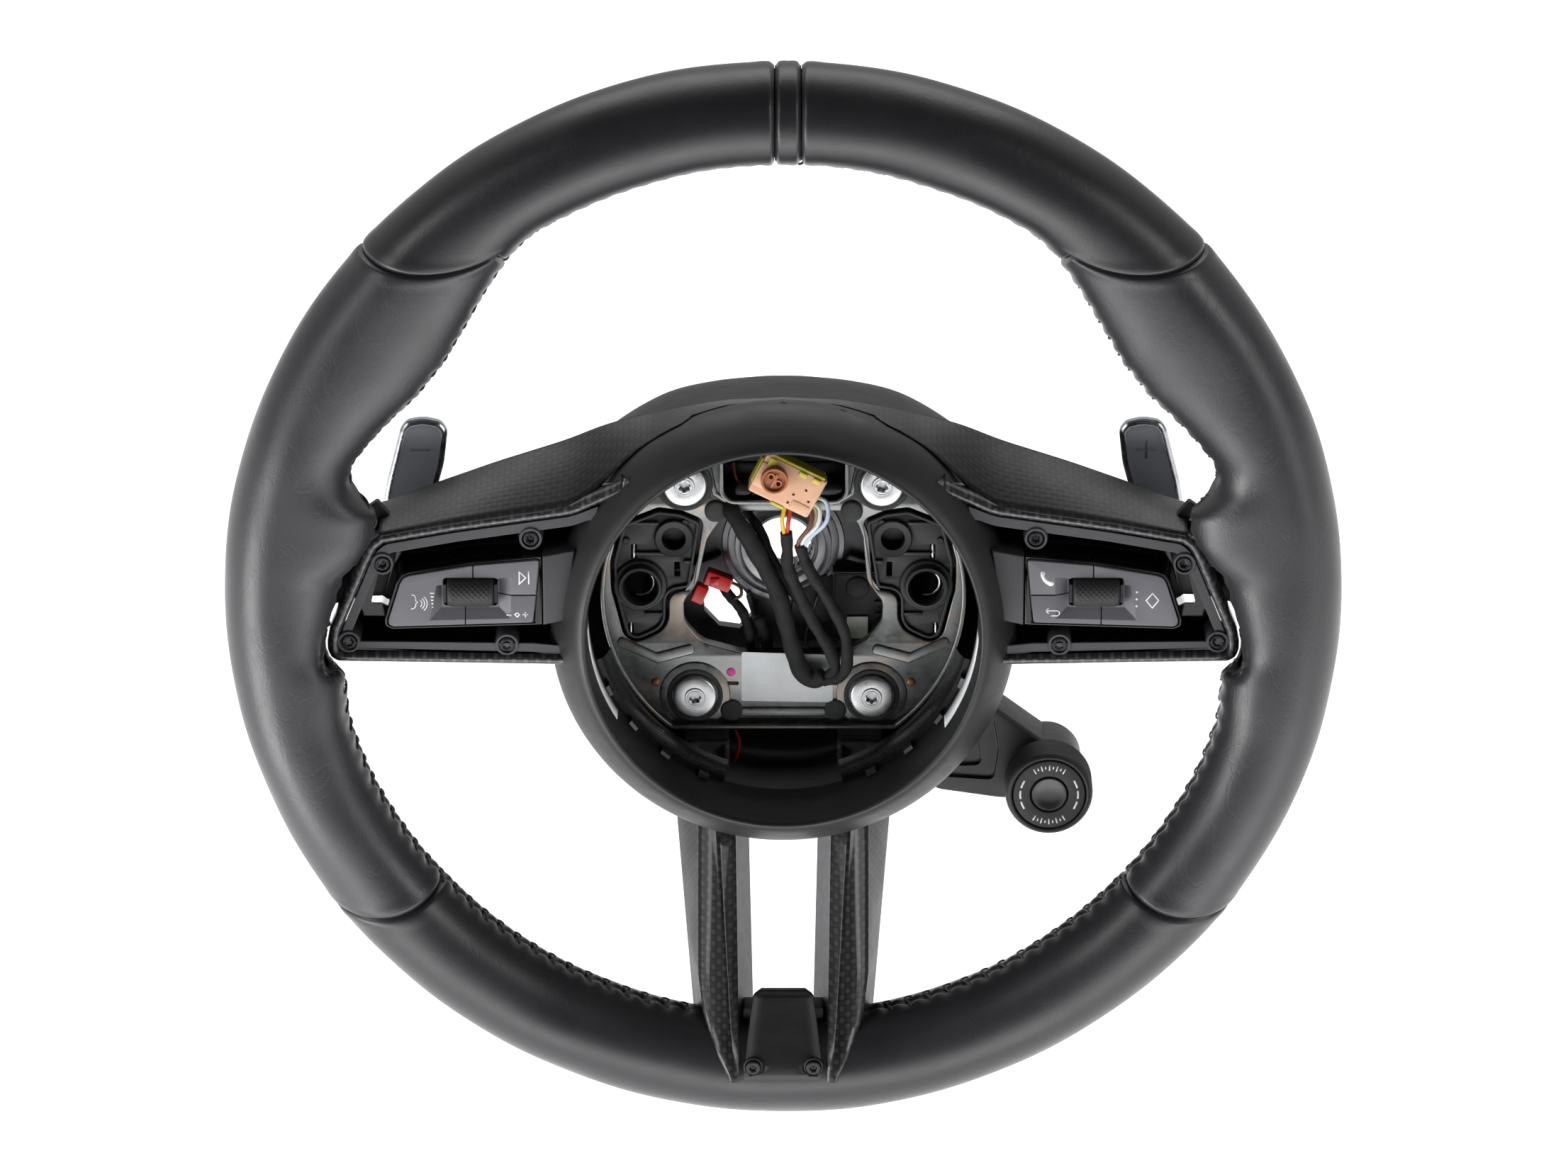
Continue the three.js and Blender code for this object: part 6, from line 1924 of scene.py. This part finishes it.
# taped strands: radius, sides, (x, depth, z) line
STRANDS = (
    (3.0, 16, [(-19.5, 46, 20.5), (-19.0, 41, 19.4), (-17.0, 36.5, 16.6), (-13.4, 34.5, 11.4),
               (-7.6, 34, 1.0), (-1.6, 34, -12.0), (2.6, 34, -29), (6.4, 33.4, -39.6),
               (10.4, 32.8, -42.4), (13.8, 32, -40.2)]),
    (2.1, 14, [(1.0, 29.6, 12.8), (1.4, 30.4, 6), (1.6, 31, -0.4), (5.6, 31, -10.6),
               (10.8, 31, -21.6), (15.6, 31.2, -30.2), (17.6, 31.6, -37.4), (14.6, 31.8, -41.4)]),
    (2.0, 14, [(5.6, 29.9, 8.2), (7.0, 30.2, 3.4), (9.4, 30.2, -2.2), (15.6, 30.0, -12.6),
               (20.8, 30, -23.8), (21.8, 30.2, -34.8), (19.4, 30.8, -40.4), (13.6, 31.4, -42)]),
    (1.7, 12, [(-12.8, 45, 15), (-8.2, 40, 10), (-4.6, 37.4, 2.2), (0.8, 36.4, -8),
               (9.6, 36, -20.4), (15.0, 37, -28), (17.0, 41, -31)]),
    (1.7, 12, [(-20.6, 46, -13.6), (-17.6, 44.5, -17), (-13.6, 43.8, -22.4), (-11.4, 43.6, -31.6),
               (-11.8, 45, -38)]),
    (2.3, 12, [(-8.6, 46, -24), (-6.0, 45.4, -32), (-5.2, 46, -40)]),
)


def lumpy(radius, phase):
    return lambda t: radius * (1 + 0.06 * math.sin(23 * t + phase)
                               + 0.05 * math.sin(57 * t + 2 * phase))


make("loom_strands", join([tube(line, lumpy(radius, i), sides, 0.8)
                           for i, (radius, sides, line) in enumerate(STRANDS, 1)]),
     LOOM)
parts = [
    placed(brick(-4.6, 4.6, 0, 5.2, -2.6, 2.6, 0.6, 0.5, 0.3), -22.2, 40.6, -9.6, 0.93, 0.36),
    placed(brick(-2.2, 2.2, 0, 4.4, -3.2, 3.2, 0.6, 0.5, 0.3), -28.6, 41.4, -14.6, 0.9, 0.43),
    placed(brick(-1.6, 1.6, -0.7, 1.0, -1.5, 1.5, 0.3, 0.3, 0), -23.4, 40.6, -9.4),
]
make("small_connector", join(parts), RED, sharp=40)
RED_WIRE = [(-16.5, 50, -68), (-15.2, 47, -71), (-15.8, 46, -75), (-17.2, 48, -79)]
BROWN_WIRES = (
    [(-17.0, 44, 33), (-16.2, 43, 28), (-14.6, 44, 25.2), (-12.6, 46, 24)],
    [(-18.6, 45, -10.8), (-14.8, 44, -12.6), (-14.6, 43.6, -15.6), (-17.6, 43.6, -16.8)],
)
make("stray_wires", tube(RED_WIRE, 0.55, 8, 0.6), RED)
make("stray_wires_brown", join([tube(line, 0.6, 8, 0.6) for line in BROWN_WIRES]), BROWN)

# control module: ribbed lid with a small blank label
parts = [brick(17.4, 42.6, 46.3, 47.0, -32.6, -8.4, 1.2, 0.5, 0)]
parts += [brick(31.2, 41.6, 45.4, 46.2, z, z + 1.6, 0.5, 0.3, 0)
          for z in (-28.6, -24.2, -19.8, -15.4)]
parts.append(spun([(0, 45.3), (3.4, 45.3), (3.9, 45.6), (4.0, 46.4), (0, 46.4)],
                  25.4, -13.6, 32))
make("module_lid", join(parts), MATTE, sharp=40)
make("module_label", brick(21.8, 29, 45.35, 45.95, -32, -24, 0.3, 0.05, 0), CREAM)

# ------------------------------------------------------------------ foot cover screws
FOOT_SEAT = [(2.6, -17.6), (2.75, -18.1), (3.1, -18.15), (3.3, -17.8), (3.3, -16.6), (2.6, -16.6)]
for i, (sign, side) in enumerate(SIDES):
    head = torx_head(sign * FOOT_SCREW_X, FOOT_SCREW_Z, radius=2.45, front=-19.2, back=-17.0,
                     socket=0.5, edge=0.5, depth=1.0, turn=0.2 + i)
    make(f"foot_screw_{side}", join(head), BLACK_STEEL,
         replaces=f"lower_cover_screw_{side}", sharp=40)
    make(f"foot_screw_seat_{side}", turned(FOOT_SEAT, sign * FOOT_SCREW_X, FOOT_SCREW_Z, 36),
         MATTE)

# ------------------------------------------------------------------ parts carried over from CAD
# material and edge round in mm
CARRIED = {
    "armature": (CAST, 0.7),
    "rim_foam": (FOAM, 0.0),
    "control_module": (MATTE, 0.5),
    "paddle_pin_left": (STEEL, 0.2),
    "paddle_pin_right": (STEEL, 0.2),
}
for name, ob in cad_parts.items():
    if ob.hide_render:
        continue
    material, edge = CARRIED.get(name, (MATTE, 0.3))
    ob.data.materials.clear()
    ob.data.materials.append(material)
    if edge:
        bevel(ob, width=edge, limit=38)


# ------------------------------------------------------------------ floor, lights and camera
# from here on in metres, y away from the driver


def white_floor(half_size, front, z):
    """Glowing square floor; front is how far it reaches before the origin."""
    floor_shader = Shader("floor_white")
    material = floor_shader.done(Base_Color=(0.93, 0.93, 0.93), Roughness=0.7,
                                 Specular_IOR_Level=0.2, Emission_Color=(1.0, 1.0, 1.0),
                                 Emission_Strength=1.0)
    bm = bmesh.new()
    bmesh.ops.create_grid(bm, x_segments=2, y_segments=2, size=half_size)
    mesh = bpy.data.meshes.new("floor")
    bm.to_mesh(mesh)
    bm.free()
    mesh.materials.append(material)
    ob = link_object("floor", mesh)
    ob.location = (0, half_size - front, z)


def aim(ob, place, target):
    ob.location = place
    ob.rotation_mode = "QUATERNION"
    ob.rotation_quaternion = (Vector(target) - Vector(place)).to_track_quat("-Z", "Y")


def area_light(name, place, width, height, power, target=(0, 0, 0)):
    data = bpy.data.lights.new(name, "AREA")
    data.shape = "RECTANGLE"
    data.size = width
    data.size_y = height
    data.energy = power
    ob = bpy.data.objects.new(name, data)
    aim(ob, place, target)
    bpy.context.scene.collection.objects.link(ob)


white_floor(half_size=9.0, front=1.3, z=-0.42)
area_light("overhead", place=(0.0, 0.75, 1.5), width=1.9, height=1.0, power=13)
area_light("left_box", place=(-1.25, -0.75, 0.35), width=0.5, height=1.0, power=2.0)
area_light("right_box", place=(1.3, -0.8, 0.25), width=0.5, height=1.0, power=3.5)
area_light("low_left", place=(-0.62, -0.35, -0.34), width=0.35, height=0.6, power=5.0,
           target=(-0.12, 0, -0.1))
area_light("fill_left", place=(-1.8, -1.3, 0.9), width=0.6, height=0.7, power=6)
area_light("fill_right", place=(1.8, -1.3, 0.9), width=0.6, height=0.7, power=6)
area_light("table_glow", place=(0, -0.42, -0.40), width=1.3, height=0.34, power=3.2,
           target=(0, -0.42, 1.0))


def studio_world():
    """White surroundings, dim on the driver's side and brighter behind the wheel."""
    world = bpy.data.worlds.new("studio")
    bpy.context.scene.world = world
    world.use_nodes = True
    tree = world.node_tree
    tree.nodes.clear()
    coordinates = tree.nodes.new("ShaderNodeTexCoord")
    split = tree.nodes.new("ShaderNodeSeparateXYZ")
    tree.links.new(coordinates.outputs["Generated"], split.inputs[0])
    strength = tree.nodes.new("ShaderNodeMapRange")
    # from -0.35..0.35 in y to a strength of 0.02..0.55
    for i, limit in enumerate((-0.35, 0.35, 0.02, 0.55), 1):
        strength.inputs[i].default_value = limit
    tree.links.new(split.outputs["Y"], strength.inputs[0])
    background = tree.nodes.new("ShaderNodeBackground")
    background.inputs[0].default_value = (1, 1, 1, 1)
    tree.links.new(strength.outputs[0], background.inputs[1])
    output = tree.nodes.new("ShaderNodeOutputWorld")
    tree.links.new(background.outputs[0], output.inputs[0])


def main_camera():
    data = bpy.data.cameras.new("camera")
    data.lens = 170.9
    data.sensor_width = 36
    data.shift_x = 0.00045
    data.clip_end = 50
    camera = link_object("camera", data)
    aim(camera, place=(0, -2.3588, 0.89185), target=(0, -0.0233, 0.004))
    bpy.context.scene.camera = camera


studio_world()
main_camera()
bpy.context.scene.view_settings.view_transform = "Standard"
bpy.context.scene.view_settings.look = "None"

bpy.context.view_layer.update()
